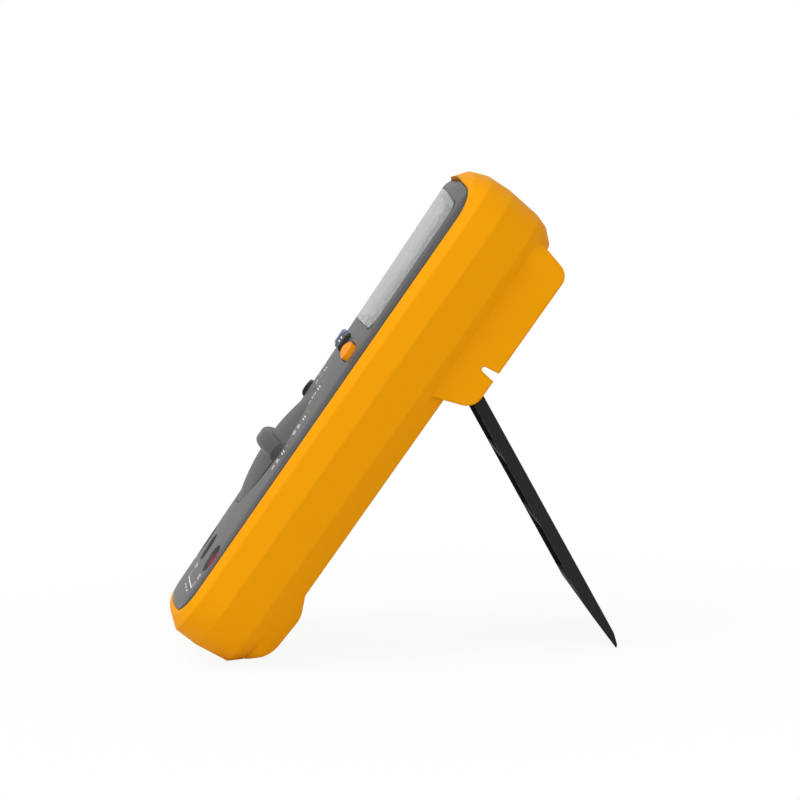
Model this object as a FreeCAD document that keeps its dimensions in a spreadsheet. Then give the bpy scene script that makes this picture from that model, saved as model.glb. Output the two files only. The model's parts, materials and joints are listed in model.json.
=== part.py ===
import FreeCAD, Part
import math
import os
import re

import Sketcher
from FreeCAD import Placement, Rotation, Vector

# A hand-held digital multimeter in a protective holster, standing on its tilt stand.
#
# Every piece is drawn lying on its back: X to the user's right, Y from the input jacks up to
# the display, Z from the back of the battery box up to the face. The pose then leans the
# whole meter back on its lower end, with the stand's foot on the same floor.

DIMS = {
    # Lean of the meter's length above the floor, in degrees
    "lean": 52.9,
    # Holster: creases from the back to the brow, each a height, a half-width and two ends
    "back_height": 9.4,
    "back_half": 36.0,
    "back_low": 9.8,
    "back_high": 178.2,
    "back_corner": 13.0,
    "hem_height": 13.5,
    "hem_half": 39.4,
    "hem_low": 2.6,
    "hem_high": 181.9,
    "hem_corner": 15.5,
    "keel_height": 17.3,
    "keel_half": 42.5,
    "keel_low": -0.6,
    "keel_high": 183.2,
    "keel_corner": 18.0,
    "waist_height": 29.2,
    "waist_half": 45.0,
    "waist_low": -1.9,
    "waist_high": 184.5,
    "waist_corner": 20.0,
    "shoulder_height": 37.3,
    "shoulder_half": 43.5,
    "shoulder_low": -1.5,
    "shoulder_high": 184.2,
    "shoulder_corner": 19.0,
    "brow_height": 42.6,
    "brow_half": 37.7,
    "brow_low": 3.0,
    "brow_high": 182.2,
    "brow_corner": 14.0,
    "crest_height": 48.4,
    "crest_half": 31.3,
    "crest_low": 8.6,
    "crest_high": 174.6,
    "crest_corner": 9.0,
    "end_bow": 230.0,
    "flat_bow": 4000.0,
    # Battery box moulded on the holster's back, with the cheeks that carry the stand
    "box_half": 40.0,
    "box_low": 118.0,
    "box_low_root": 112.7,
    "box_high": 171.6,
    "box_high_root": 175.8,
    "box_root": 15.0,
    "box_low_round": 6.0,
    "box_high_round": 5.0,
    "slot_half": 29.5,
    "slot_high": 135.0,
    "notch_place": 130.4,
    "notch_mouth": 3.4,
    "notch_throat": 1.8,
    "notch_deep": 4.7,
    "heel_knee": 13.2,
    "heel_knee_height": 7.0,
    "heel_peak": 27.6,
    "heel_peak_height": 5.9,
    "heel_end": 35.0,
    "heel_round": 9.0,
    "heel_inset": 0.4,
    "box_corner": 8.0,
    # Tilt stand, from its pivot
    "pivot_place": 123.1,
    "pivot_height": 6.5,
    "pin": 2.0,
    "pin_gap": 0.06,
    "pin_reach": 2.6,
    "stand_long": 104.2,
    "stand_outer": 3.4,
    "stand_thick": 4.2,
    "stand_hub": 2.6,
    "stand_taper": 19.0,
    "stand_tip": 1.9,
    "stand_toe": 5.0,
    "stand_toe_rise": 1.0,
    "stand_edge": 1.6,
    "stand_web": 1.9,
    "stand_rim": 3.0,
    "stand_rib": 2.0,
    "stand_ribs": 3,
    # How far cutting tools reach past what they cut
    "over": 1.0,
    # Meter inside the holster
    "case_gap": 0.3,
    "case_wall": 2.0,
    "face_half": 38.5,
    "face_low": 4.8,
    "face_high": 177.6,
    "face_corner": 10.0,
    "face_wall": 3.0,
    "face_droop": 3.4,
    "face_droop_round": 6.0,
    "rear_height": 11.9,
    "rear_half": 33.5,
    "rear_low": 14.5,
    "rear_high": 172.0,
    "rear_corner": 8.0,
    "flank_height": 19.5,
    "split": 27.0,
    "seal_thick": 0.8,
    "seal_wide": 1.2,
    # Crown of the face: heights at its side edges and along its middle
    "edge_start": 40.0,
    "edge_finish": 41.1,
    "middle_start": 42.25,
    "middle_finish": 47.2,
    "crown_margin": 5.0,
    "rim_drop": 0.2,
    # Display
    "lens_half": 31.0,
    "lens_low": 119.3,
    "lens_high": 172.0,
    "lens_corner": 4.0,
    "lens_bow": 160.0,
    "lens_thick": 1.8,
    "lens_gap": 0.15,
    "lens_ledge": 2.6,
    "glass_half": 29.4,
    "glass_low": 121.6,
    "glass_high": 166.8,
    "glass_height": 36.0,
    "glass_thick": 2.2,
    "frame_wall": 1.6,
    "frame_ledge": 0.7,
    "frame_lip": 0.4,
    "guide_thick": 2.6,
    "zebra_wide": 2.4,
    "zebra_end": 1.0,
    "fit_gap": 0.2,
    # Circuit board and what is soldered to it
    "board_height": 30.0,
    "board_thick": 1.6,
    "board_half": 35.6,
    "board_low": 36.4,
    "board_high": 168.4,
    "board_corner": 4.0,
    "post": 2.6,
    "post_side": 31.0,
    "post_low": 76.0,
    "post_high": 128.0,
    # Keys
    "key_half": 5.8,
    "key_deep": 3.15,
    "key_corner": 2.0,
    "key_bow": 60.0,
    "key_gap": 0.3,
    "key_rise": 1.7,
    "key_barrel": 4.6,
    "key_flange": 1.2,
    "key_flange_thick": 1.4,
    "key_travel": 0.7,
    "key_pitch": 16.0,
    "key_inner_place": 110.2,
    "key_outer_place": 109.0,
    "lamp_key_side": 23.0,
    "lamp_key_place": 88.5,
    "lamp_key_half": 4.6,
    "pad_thick": 1.4,
    "pad_margin": 2.0,
    # Rotary dial
    "dial_place": 67.6,
    "dial": 23.25,
    "dial_groove": 0.45,
    "dial_floor": 39.6,
    "dial_under": 0.3,
    "dial_rim": 43.0,
    "dial_top": 46.7,
    "dial_cup_wall": 1.8,
    "dish_wide": 7.0,
    "dish_deep": 2.1,
    "shaft": 6.0,
    "shaft_gap": 0.08,
    "grip_half": 3.1,
    "grip_inset": 0.3,
    "grip_root": 0.8,
    "grip_end": 44.8,
    "grip_top": 50.2,
    "grip_round": 1.9,
    "scoop_side": 8.8,
    "scoop_height": 51.6,
    "scoop_deep": 6.0,
    "scoop_long": 17.0,
    "rotor": 19.0,
    "rotor_thick": 2.2,
    "rotor_height": 33.2,
    "rotor_hub": 8.4,
    "rotor_hub_high": 4.0,
    "detents": 24,
    "detent_cut": 0.9,
    "finger_wide": 2.0,
    "finger_short": 2.0,
    "leaf_thick": 0.5,
    "leaf_half": 6.0,
    "leaf_reach": 5.0,
    # Input jacks
    "jack_pitch": 19.0,
    "jack_place": 26.8,
    "jack_well": 5.1,
    "jack_ring_wall": 0.8,
    "jack_ring_foot": 33.0,
    "jack_ring_drop": 1.4,
    "collar_gap": 0.05,
    "jack_bore": 2.0,
    "jack_sleeve": 3.2,
    "jack_top": 38.0,
    "jack_seat": 18.5,
    "jack_bottom": 17.0,
    "block_half": 34.1,
    "block_gap": 0.8,
    "block_low": 19.4,
    "block_high": 35.6,
    # Fuses, battery and its door
    "fuse": 5.15,
    "fuse_long": 38.0,
    "fuse_side": 14.0,
    "fuse_place": 44.5,
    "fuse_pitch": 13.5,
    "clip_wide": 4.6,
    "clip_wall": 0.9,
    "clip_base": 1.0,
    "clip_gap": 0.05,
    "clip_inset": 0.5,
    "clip_share": 0.6,
    "battery_long": 46.4,
    "battery_wide": 26.5,
    "battery_thick": 17.5,
    "terminal": 2.9,
    "terminal_high": 2.1,
    "terminal_pitch": 12.7,
    "snap_wall": 1.0,
    "snap_thick": 0.6,
    "plate_thick": 0.7,
    "plate_half": 12.0,
    "plate_half_high": 6.0,
    "battery_place": 152.9,
    "battery_gap": 0.65,
    "well_wall": 1.6,
    "well_gap": 0.4,
    "well_corner": 2.5,
    "door_thick": 2.0,
    "door_sink": 0.4,
    "latch_rim": 0.4,
    "latch_head": 4.0,
    "latch_head_thick": 1.3,
    "latch_shank": 2.6,
    "latch_gap": 0.3,
    "latch_deep": 9.0,
    "latch_wing": 4.2,
    "latch_wing_thick": 1.6,
    "latch_slot": 1.2,
    # Loose hardware
    "screw": 1.4,
    "screw_head": 2.6,
    "screw_head_high": 1.8,
    "screw_seat": 18.4,
    "screw_long": 16.0,
    "screw_side": 24.0,
    "screw_low": 13.4,
    "screw_high": 171.6,
    "boss": 2.9,
    "tube_wall": 1.0,
    "shield_half": 26.0,
    "shield_low": 66.0,
    "shield_high": 132.0,
    "shield_thick": 0.4,
    "buzzer": 9.0,
    "buzzer_high": 5.0,
    "buzzer_side": 18.0,
    "buzzer_place": 51.0,
}

doc = FreeCAD.newDocument("Multimeter")
sheet = doc.addObject("Spreadsheet::Sheet", "Dims")
for row, (alias, number) in enumerate(DIMS.items(), start=1):
    sheet.set(f"A{row}", alias)
    sheet.set(f"B{row}", str(number))
    sheet.setAlias(f"B{row}", alias)
doc.recompute()

# Levels clear of the whole meter, where cutting tools start and stop
ABOVE = "(crest_height + back_height)"
BELOW = "-back_height"
# Shares of the meter's length between which the crown is drawn
CROWN_ENDS = ("-0.1", "1.1")
CONTACT_FINGERS = 3

# Places and sizes that follow from several of the sheet's
DECK = "(board_height + board_thick)"
BLOCK_FOOT = "(rear_height + case_wall + block_gap)"
KEY_FOOT = f"({DECK} + pad_thick + key_travel + key_gap)"
STACK = "(battery_long + terminal_high + snap_thick + plate_thick)"
WELL_HALF = f"((fit_gap + {STACK} + 2 * well_wall + 2 * latch_wing + latch_rim) / 2)"
WELL_LOW = "(battery_place - battery_wide / 2 - battery_gap - well_wall)"
WELL_HIGH = "(battery_place + battery_wide / 2 + battery_gap + well_wall)"
BATTERY_FOOT = "(door_sink + door_thick + well_gap)"
BATTERY_TOP = f"({BATTERY_FOOT} + battery_thick + case_gap)"
LATCH_SIDE = f"({WELL_HALF} - latch_rim - latch_wing)"

PLANES = {
    "XY_Plane": (Rotation(), "z"),
    "XZ_Plane": (Rotation(Vector(1, 0, 0), 90), "y"),
    "YZ_Plane": (Rotation(Vector(1, 1, 1), 120), "x"),
}
LEVELS = ("back", "hem", "keel", "waist", "shoulder", "brow", "crest")
ORIGIN = -1
MIDDLE = 3
pieces = {}


def bound(text):
    """The expression with every size's name pointed at the sheet."""
    return re.sub(r"[a-z_]+", lambda word: ("Dims." if word[0] in DIMS else "") + word[0], str(text))


def size(text):
    """The value of an expression written in the sheet's names."""
    return float(sheet.evalExpression(str(text)))


def place(item, x=None, y=None, z=None, inside="Placement.Base"):
    """Bind an object's position to expressions."""
    for axis, text in (("x", x), ("y", y), ("z", z)):
        if text is not None:
            item.setExpression(f"{inside}.{axis}", bound(text))
    return item


# Sketches -------------------------------------------------------------------


def free_sketch(name, role, offset, x=None, y=None, z=None):
    """A sketch of its own on a plane parallel to one of the main planes."""
    sketch = doc.addObject("Sketcher::SketchObject", name)
    turn, normal = PLANES[role]
    sketch.Placement = Placement(Vector(), turn)
    place(sketch, **{"x": x, "y": y, "z": z, normal: offset})
    return sketch


def body_sketch(body, role, name, offset="0"):
    """A sketch on one of a body's own origin planes, raised by an offset."""
    sketch = body.newObject("Sketcher::SketchObject", name)
    plane = [item for item in body.Origin.OriginFeatures if item.Role == role][0]
    sketch.AttachmentSupport = [(plane, "")]
    sketch.MapMode = "FlatFace"
    place(sketch, z=offset, inside="AttachmentOffset.Base")
    return sketch


def pin_down(sketch, kind, first, at, text):
    """One dimension from the sketch's origin to a point, bound to an expression."""
    number = sketch.addConstraint(Sketcher.Constraint(kind, ORIGIN, 1, first, at, size(text)))
    sketch.setExpression(f"Constraints[{number}]", bound(text))


def set_radius(sketch, curve, text):
    """A curve's radius, bound to an expression."""
    number = sketch.addConstraint(Sketcher.Constraint("Radius", curve, size(text)))
    sketch.setExpression(f"Constraints[{number}]", bound(text))


def draw_circle(sketch, radius, x="0", y="0"):
    """A circle with its centre and radius bound."""
    circle = Part.Circle(Vector(size(x), size(y), 0), Vector(0, 0, 1), size(radius))
    curve = sketch.addGeometry(circle, False)
    set_radius(sketch, curve, radius)
    pin_down(sketch, "DistanceX", curve, MIDDLE, x)
    pin_down(sketch, "DistanceY", curve, MIDDLE, y)
    return sketch


def draw_polygon(sketch, corners):
    """A closed polygon with every corner bound."""
    points = [Vector(size(x), size(y), 0) for x, y in corners]
    first = sketch.GeometryCount
    for start, finish in zip(points, points[1:] + points[:1]):
        sketch.addGeometry(Part.LineSegment(start, finish), False)
    for number, (x, y) in enumerate(corners):
        after = first + (number + 1) % len(corners)
        sketch.addConstraint(Sketcher.Constraint("Coincident", first + number, 2, after, 1))
        pin_down(sketch, "DistanceX", first + number, 1, x)
        pin_down(sketch, "DistanceY", first + number, 1, y)
    return sketch


def draw_box(sketch, left, right, low, high):
    """A rectangle between four bound sides."""
    return draw_polygon(sketch, [(left, low), (right, low), (right, high), (left, high)])


def draw_outline(sketch, half, low, high, corner, low_bow="end_bow", high_bow="end_bow"):
    """Straight sides, gently bowed ends and round corners, even about the sketch's Y axis."""
    wide = size(half)
    radius = size(corner)
    curves = []
    joints = []
    for text, bow, side in ((high, high_bow, 1), (low, low_bow, -1)):
        reach = size(bow)
        rise = math.sqrt((reach - radius) ** 2 - (wide - radius) ** 2)
        level = size(text) + side * (rise - reach)
        joints.append((level, math.atan2(rise, wide - radius), side * (size(text) * side - reach)))
        curves.append((reach, bow))
    (top, top_angle, top_middle), (bottom, bottom_angle, bottom_middle) = joints
    up = Vector(0, 0, 1)

    def arc(x, y, radius_now, start, finish):
        return Part.ArcOfCircle(Part.Circle(Vector(x, y, 0), up, radius_now), start, finish)

    inset = wide - radius
    shapes = [
        Part.LineSegment(Vector(wide, bottom, 0), Vector(wide, top, 0)),
        arc(inset, top, radius, 0, top_angle),
        arc(0, top_middle, curves[0][0], top_angle, math.pi - top_angle),
        arc(-inset, top, radius, math.pi - top_angle, math.pi),
        Part.LineSegment(Vector(-wide, top, 0), Vector(-wide, bottom, 0)),
        arc(-inset, bottom, radius, math.pi, math.pi + bottom_angle),
        arc(0, bottom_middle, curves[1][0], math.pi + bottom_angle, 2 * math.pi - bottom_angle),
        arc(inset, bottom, radius, 2 * math.pi - bottom_angle, 2 * math.pi),
    ]
    for shape in shapes:
        sketch.addGeometry(shape, False)
    for number in range(8):
        sketch.addConstraint(Sketcher.Constraint("Tangent", number, 2, (number + 1) % 8, 1))
    for curve in (1, 3, 5, 7):
        set_radius(sketch, curve, corner)
    set_radius(sketch, 2, high_bow)
    set_radius(sketch, 6, low_bow)
    for line, sign in ((0, ""), (4, "-")):
        sketch.addConstraint(Sketcher.Constraint("Vertical", line))
        pin_down(sketch, "DistanceX", line, 1, f"{sign}({half})")
    for curve, text in ((2, f"{high} - {high_bow}"), (6, f"{low} + {low_bow}")):
        pin_down(sketch, "DistanceX", curve, MIDDLE, "0")
        pin_down(sketch, "DistanceY", curve, MIDDLE, text)
    return sketch


# Solids ----------------------------------------------------------------------


def prism(name, sketch, bottom, top):
    """A sketch drawn up from one level to another."""
    solid = doc.addObject("Part::Extrusion", name)
    solid.Base = sketch
    solid.DirMode = "Normal"
    solid.Solid = True
    solid.setExpression("LengthFwd", bound(f"({top}) - ({bottom})"))
    return solid


def outline_prism(name, bottom, top, half, low, high, corner, x="0", y="0", **bows):
    """A prism on a bowed outline, moved sideways to its place."""
    sketch = free_sketch(name + "Outline", "XY_Plane", bottom, x=x, y=y)
    return prism(name, draw_outline(sketch, half, low, high, corner, **bows), bottom, top)


def box_prism(name, bottom, top, left, right, low, high):
    """A plain box between six bound sides."""
    sketch = free_sketch(name + "Plan", "XY_Plane", bottom)
    return prism(name, draw_box(sketch, left, right, low, high), bottom, top)


def side_prism(name, corners, left, right):
    """A side view, given as Y and Z, drawn across the meter."""
    sketch = free_sketch(name + "Side", "YZ_Plane", left)
    return prism(name, draw_polygon(sketch, corners), left, right)


def cylinder(name, radius, bottom, top, x="0", y="0"):
    """A cylinder along Z between two levels."""
    solid = doc.addObject("Part::Cylinder", name)
    solid.setExpression("Radius", bound(radius))
    solid.setExpression("Height", bound(f"({top}) - ({bottom})"))
    return place(solid, x=x, y=y, z=bottom)


def cross_cylinder(name, radius, left, right, y, z):
    """A cylinder along X between two sides."""
    solid = doc.addObject("Part::Cylinder", name)
    solid.setExpression("Radius", bound(radius))
    solid.setExpression("Height", bound(f"({right}) - ({left})"))
    solid.Placement = Placement(Vector(), Rotation(Vector(0, 1, 0), 90))
    return place(solid, x=left, y=y, z=z)


def loft(name, sections):
    """A faceted solid through a stack of sketches."""
    solid = doc.addObject("Part::Loft", name)
    solid.Sections = sections
    solid.Solid = True
    solid.Ruled = True
    return solid


def fuse(name, *shapes):
    """Several solids made one."""
    solid = doc.addObject("Part::MultiFuse", name)
    solid.Shapes = list(shapes)
    solid.Refine = True
    return solid


def common(name, *shapes):
    """What several solids share."""
    solid = doc.addObject("Part::MultiCommon", name)
    solid.Shapes = list(shapes)
    return solid


def cut(name, base, *tools):
    """A solid less one tool or several."""
    solid = doc.addObject("Part::Cut", name)
    solid.Base = base
    solid.Tool = tools[0] if len(tools) == 1 else fuse(name + "Tools", *tools)
    return solid


def rounded(name, base, choose, radius):
    """Round every edge of a solid that the test picks."""
    doc.recompute()
    solid = doc.addObject("Part::Fillet", name)
    solid.Base = base
    edges = [n for n, edge in enumerate(base.Shape.Edges, start=1) if choose(edge)]
    solid.Edges = [(n, size(radius), size(radius)) for n in edges]
    return solid


def along(edge, axis):
    """Whether an edge is a straight line along an axis."""
    if edge.Curve.TypeId != "Part::GeomLine":
        return False
    return abs(abs(edge.tangentAt(edge.FirstParameter).dot(axis)) - 1) < 1e-6


def group(name, *shapes):
    """Separate solids that share one node."""
    solid = doc.addObject("Part::Compound", name)
    solid.Links = list(shapes)
    return solid


def keep(label, item):
    """Name a finished piece."""
    item.Label = label
    pieces[label] = item
    return item


def new_body(label):
    """An empty PartDesign body for a piece."""
    return keep(label, doc.addObject("PartDesign::Body", "Body_" + label))


def pad(body, sketch, length, **options):
    """Add a sketch drawn up by a length."""
    feature = body.newObject("PartDesign::Pad", "Pad")
    feature.Profile = sketch
    for name, value in options.items():
        setattr(feature, name, value)
    feature.setExpression("Length", bound(length))
    return feature


def pocket(body, sketch, length, **options):
    """Take away a sketch drawn down by a length."""
    feature = body.newObject("PartDesign::Pocket", "Pocket")
    feature.Profile = sketch
    for name, value in options.items():
        setattr(feature, name, value)
    feature.setExpression("Length", bound(length))
    return feature


# Crown -----------------------------------------------------------------------


def crown_section(name, share, lift):
    """The face's cross-section, part of the way along the meter."""
    edge = f"edge_start + ({share}) * (edge_finish - edge_start) + {lift}"
    middle = f"middle_start + ({share}) * (middle_finish - middle_start) + {lift}"
    rise = f"(({middle}) - ({edge}))"
    radius = f"(face_half * face_half + {rise} * {rise}) / (2 * {rise})"
    reach = "(waist_half + crown_margin)"
    heart = f"{middle} - {radius}"
    angle = math.acos(size(reach) / size(radius))
    brow = f"{heart} + sqrt(({radius}) * ({radius}) - ({reach}) * ({reach}))"
    sketch = free_sketch(name, "XZ_Plane", f"({share}) * waist_high")
    ring = Part.Circle(Vector(0, size(heart), 0), Vector(0, 0, 1), size(radius))
    sketch.addGeometry(Part.ArcOfCircle(ring, angle, math.pi - angle), False)
    left = Vector(-size(reach), size(brow), 0)
    right = Vector(size(reach), size(brow), 0)
    drop = Vector(0, size(f"-waist_half - ({brow})"), 0)
    for start, finish in ((left, left + drop), (left + drop, right + drop), (right + drop, right)):
        sketch.addGeometry(Part.LineSegment(start, finish), False)
    for first in range(4):
        sketch.addConstraint(Sketcher.Constraint("Coincident", first, 2, (first + 1) % 4, 1))
    set_radius(sketch, 0, radius)
    pin_down(sketch, "DistanceX", 0, MIDDLE, "0")
    pin_down(sketch, "DistanceY", 0, MIDDLE, heart)
    for line, at, x in ((1, 2, f"-({reach})"), (2, 2, reach)):
        pin_down(sketch, "DistanceX", line, at, x)
        pin_down(sketch, "DistanceY", line, at, "-waist_half")
    sketch.addConstraint(Sketcher.Constraint("Vertical", 1))
    sketch.addConstraint(Sketcher.Constraint("Vertical", 3))
    return sketch


def crown(name, lift):
    """Everything below the crowned face, with the face lifted or lowered."""
    return loft(name, [crown_section(name + part, share, lift)
                       for part, share in zip(("Start", "Finish"), CROWN_ENDS)])


# Holster -----------------------------------------------------------------------


def build_holster():
    """The faceted rubber holster with its battery box, stand cheeks and heel."""
    sections = []
    for level in LEVELS:
        sketch = free_sketch("Holster_" + level, "XY_Plane", f"{level}_height")
        ends = (f"{level}_low", f"{level}_high")
        sections.append(draw_outline(sketch, f"{level}_half", *ends, f"{level}_corner"))
    shell = loft("HolsterLoft", sections)
    box = side_prism("HolsterBox", [
        ("box_low_root", "box_root"),
        ("box_low", "0"),
        ("box_high", "0"),
        ("box_high_root", "box_root"),
    ], "-box_half", "box_half")
    across = Vector(1, 0, 0)
    box = rounded("HolsterBoxLow", box, lambda e: along(e, across)
                  and e.BoundBox.ZMax < 1 and e.BoundBox.YMax < size("slot_high"), "box_low_round")
    box = rounded("HolsterBoxHigh", box, lambda e: along(e, across)
                  and e.BoundBox.ZMax < 0.01 and e.BoundBox.YMin > size("slot_high"), "box_high_round")
    plan = outline_prism("HolsterBoxPlan", BELOW, "waist_height", "box_half", "box_low - box_half",
                         "box_high_root", "box_corner", low_bow="flat_bow", high_bow="flat_bow")
    box = common("HolsterBoxTrim", box, plan)
    heel = side_prism("HolsterHeel", [
        ("hem_low + case_wall", "hem_height"),
        ("heel_knee", "heel_knee_height"),
        ("heel_peak", "heel_peak_height"),
        ("heel_end", "back_height"),
        ("heel_end", "hem_height"),
    ], "-keel_half", "keel_half")
    heel = rounded("HolsterHeelRound", heel, lambda e: along(e, across)
                   and e.BoundBox.ZMax < size("heel_knee_height") + 0.01, "heel_round")
    slope = "(keel_half - back_half) / (keel_height - back_height)"
    flank = draw_polygon(free_sketch("HeelFlankEnd", "XZ_Plane", "heel_end"), [
        (f"-back_half + {slope} * back_height", "0"),
        (f"back_half - {slope} * back_height", "0"),
        ("keel_half", "keel_height"),
        ("-keel_half", "keel_height"),
    ])
    ends = outline_prism("HeelEnds", "0", "keel_height", "hem_half - heel_inset", "hem_low + heel_inset",
                         "box_low_root", "hem_corner - heel_inset")
    heel = common("HolsterHeelTrim", heel, prism("HeelFlank", flank, "0", "heel_end"), ends)
    outer = common("HolsterOuter", fuse("HolsterSolid", shell, box, heel), crown("HolsterCrown", "-rim_drop"))
    inside = meter_space("HolsterInside", "case_gap", ABOVE, "rear_height")
    slot = box_prism("StandSlot", BELOW, "back_height", "-slot_half", "slot_half", "box_low - box_root",
                     "slot_high")
    notch = side_prism("CheekNotch", [
        ("notch_place - notch_mouth / 2", "-over"),
        ("notch_place + notch_mouth / 2", "-over"),
        ("notch_place + notch_throat / 2", "notch_deep"),
        ("notch_place - notch_throat / 2", "notch_deep"),
    ], "-box_half - over", "box_half + over")
    notch_end = cross_cylinder("CheekNotchEnd", "notch_throat / 2", "-box_half - over",
                               "box_half + over", "notch_place", "notch_deep")
    pins = cross_cylinder("StandPinHoles", "pin + pin_gap", "-slot_half - pin_reach - case_gap",
                          "slot_half + pin_reach + case_gap", "pivot_place", "pivot_height")
    window = well_prism("DoorWindow", BELOW, "flank_height", "well_gap")
    keep("holster", cut("Holster", outer, inside, slot, notch, notch_end, pins, window))


def well_prism(name, bottom, top, grow):
    """A straight prism on the battery well's outline, grown by a gap."""
    return outline_prism(name, bottom, top, f"{WELL_HALF} + {grow}", f"{WELL_LOW} - {grow}",
                         f"{WELL_HIGH} + {grow}", f"well_corner + {grow}",
                         low_bow="flat_bow", high_bow="flat_bow")


def meter_space(name, gap, top, floor):
    """The meter's own outside, grown by a gap: tapered behind, straight towards the face."""
    sections = []
    for number, (level, half, low, high, corner) in enumerate((
        (f"{floor} - {gap}", "rear_half", "rear_low", "rear_high", "rear_corner"),
        (f"flank_height - {gap}", "face_half", "face_low", "face_high", "face_corner"),
        (top, "face_half", "face_low", "face_high", "face_corner"),
    )):
        sketch = free_sketch(f"{name}{number}", "XY_Plane", level)
        sections.append(draw_outline(sketch, f"{half} + {gap}", f"{low} - {gap}",
                                     f"{high} + {gap}", f"{corner} + {gap}"))
    return loft(name, sections)


# Tilt stand ---------------------------------------------------------------------


def build_stand():
    """The flip-out stand, drawn folded with its pivot at the origin and its foot towards -Y."""
    body = new_body("tilt_stand")
    side = body_sketch(body, "YZ_Plane", "StandSide")
    inner = "stand_thick - stand_outer"
    draw_polygon(side, [
        ("stand_hub", "-stand_outer + stand_toe_rise"),
        ("stand_hub - stand_toe_rise", "-stand_outer"),
        ("-stand_long + stand_toe", "-stand_outer"),
        ("-stand_long + stand_toe_rise", "-stand_outer + stand_toe_rise"),
        ("-stand_long", "-stand_outer + stand_tip"),
        ("-stand_long + stand_taper", inner),
        ("stand_hub", inner),
    ])
    plate = pad(body, side, "2 * (slot_half - case_gap)", SideType="Symmetric")
    doc.recompute()
    long_edges = [f"Edge{n}" for n, edge in enumerate(plate.Shape.Edges, start=1)
                  if along(edge, Vector(0, 1, 0)) and edge.BoundBox.ZMax < -size("stand_hub")]
    softened = body.newObject("PartDesign::Fillet", "StandEdges")
    softened.Base = (plate, long_edges)
    softened.setExpression("Radius", bound("stand_edge"))
    hub = draw_circle(body_sketch(body, "YZ_Plane", "StandHub"), "stand_hub")
    pad(body, hub, "2 * (slot_half - case_gap)", SideType="Symmetric")
    pin = draw_circle(body_sketch(body, "YZ_Plane", "StandPins"), "pin")
    pad(body, pin, "2 * (slot_half + pin_reach)", SideType="Symmetric")
    pitch = "(stand_long - stand_taper - 2 * stand_hub - stand_rim) / stand_ribs"
    bay = body_sketch(body, "XY_Plane", "StandBay", inner)
    draw_box(bay, "-slot_half + case_gap + stand_rim", "slot_half - case_gap - stand_rim",
             f"-stand_hub * 2 - ({pitch}) + stand_rib", "-stand_hub * 2")
    hollow = pocket(body, bay, "stand_thick - stand_web")
    doc.recompute()
    row = body.newObject("PartDesign::LinearPattern", "StandBays")
    row.Originals = [hollow]
    row.Direction = (bay, ["V_Axis"])
    row.Reversed = True
    row.Mode = "Spacing"
    row.setExpression("Offset", bound(pitch))
    row.setExpression("Occurrences", bound("stand_ribs"))
    body.Tip = row
    return body


# Meter case -----------------------------------------------------------------------


def screw_places():
    """Where the case screws stand: two at each end."""
    return [(f"{side}screw_side", end) for side in ("-", "") for end in ("screw_low", "screw_high")]


def build_rear_case():
    """The meter's rear shell with the battery well, board posts and screw tubes."""
    rim = "split - seal_thick / 2"
    outer = meter_space("RearOuter", "0", rim, "rear_height")
    inner = meter_space("RearInner", "-case_wall", "split + over", "rear_height")
    shell = cut("RearShell", outer, inner)
    well = well_prism("BatteryWell", "door_sink + door_thick", f"{BATTERY_TOP} + well_wall", "0")
    solids = [shell, well]
    corners = [(side + "post_side", end) for side in ("-", "") for end in ("post_low", "post_high")]
    for number, (x, y) in enumerate(corners):
        solids.append(cylinder(f"BoardPost{number}", "post", "rear_height + over", "board_height", x, y))
    tubes = [cylinder(f"ScrewTube{number}", "screw_head + tube_wall", "rear_height", rim, x, y)
             for number, (x, y) in enumerate(screw_places())]
    body = meter_space("RearBody", "0", rim, "rear_height")
    solids.append(common("ScrewTubes", fuse("ScrewTubeSet", *tubes), body))
    left = f"-{WELL_HALF} + well_wall"
    tools = [box_prism("BatteryPocket", "-well_wall", BATTERY_TOP, left, f"{left} + fit_gap + {STACK}",
                       f"{WELL_LOW} + well_wall", f"{WELL_HIGH} - well_wall")]
    for number, (x, y) in enumerate(screw_places()):
        tools.append(cylinder(f"HeadWay{number}", "screw_head + fit_gap", "rear_height - over",
                              "screw_seat", x, y))
        tools.append(cylinder(f"ScrewWay{number}", "screw + fit_gap", "screw_seat - over",
                              "split + over", x, y))
    tools.append(cylinder("LatchWay", "latch_shank + latch_gap", "0", "latch_deep",
                          LATCH_SIDE, "battery_place"))
    tools.append(cylinder("LatchCave", "latch_wing + latch_gap",
                          "latch_deep - latch_wing_thick - 2 * latch_gap", "latch_deep",
                          LATCH_SIDE, "battery_place"))
    keep("rear_case", cut("RearCase", fuse("RearSolid", *solids), *tools))


def face_prism(name, bottom, grow):
    """A straight prism on the face's outline, grown or shrunk."""
    return outline_prism(name, bottom, ABOVE, f"face_half + {grow}",
                         f"face_low - ({grow})", f"face_high + {grow}", f"face_corner + {grow}")


def lens_prism(name, bottom, grow):
    """A straight prism on the display lens's outline, grown or shrunk."""
    return outline_prism(name, bottom, ABOVE, f"lens_half + {grow}",
                         f"lens_low - ({grow})", f"lens_high + {grow}", f"lens_corner + {grow}",
                         low_bow="flat_bow", high_bow="lens_bow")


KEYS = {
    "key_shift": ("key_pitch * 1.5", "key_outer_place", "key_half"),
    "key_hold": ("key_pitch * 0.5", "key_inner_place", "key_half"),
    "key_range": ("key_pitch * -0.5", "key_inner_place", "key_half"),
    "key_peak": ("key_pitch * -1.5", "key_outer_place", "key_half"),
    "key_lamp": ("-lamp_key_side", "lamp_key_place", "lamp_key_half"),
}


def key_prism(name, key, bottom, grow):
    """A straight prism on a key's outline, grown or shrunk, at the key's place."""
    x, y, half = KEYS[key]
    return outline_prism(name, bottom, ABOVE, f"{half} + {grow}",
                         f"-key_deep - ({grow})", f"key_deep + {grow}", f"key_corner + {grow}",
                         x=x, y=y, low_bow="key_bow", high_bow="key_bow")


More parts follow.
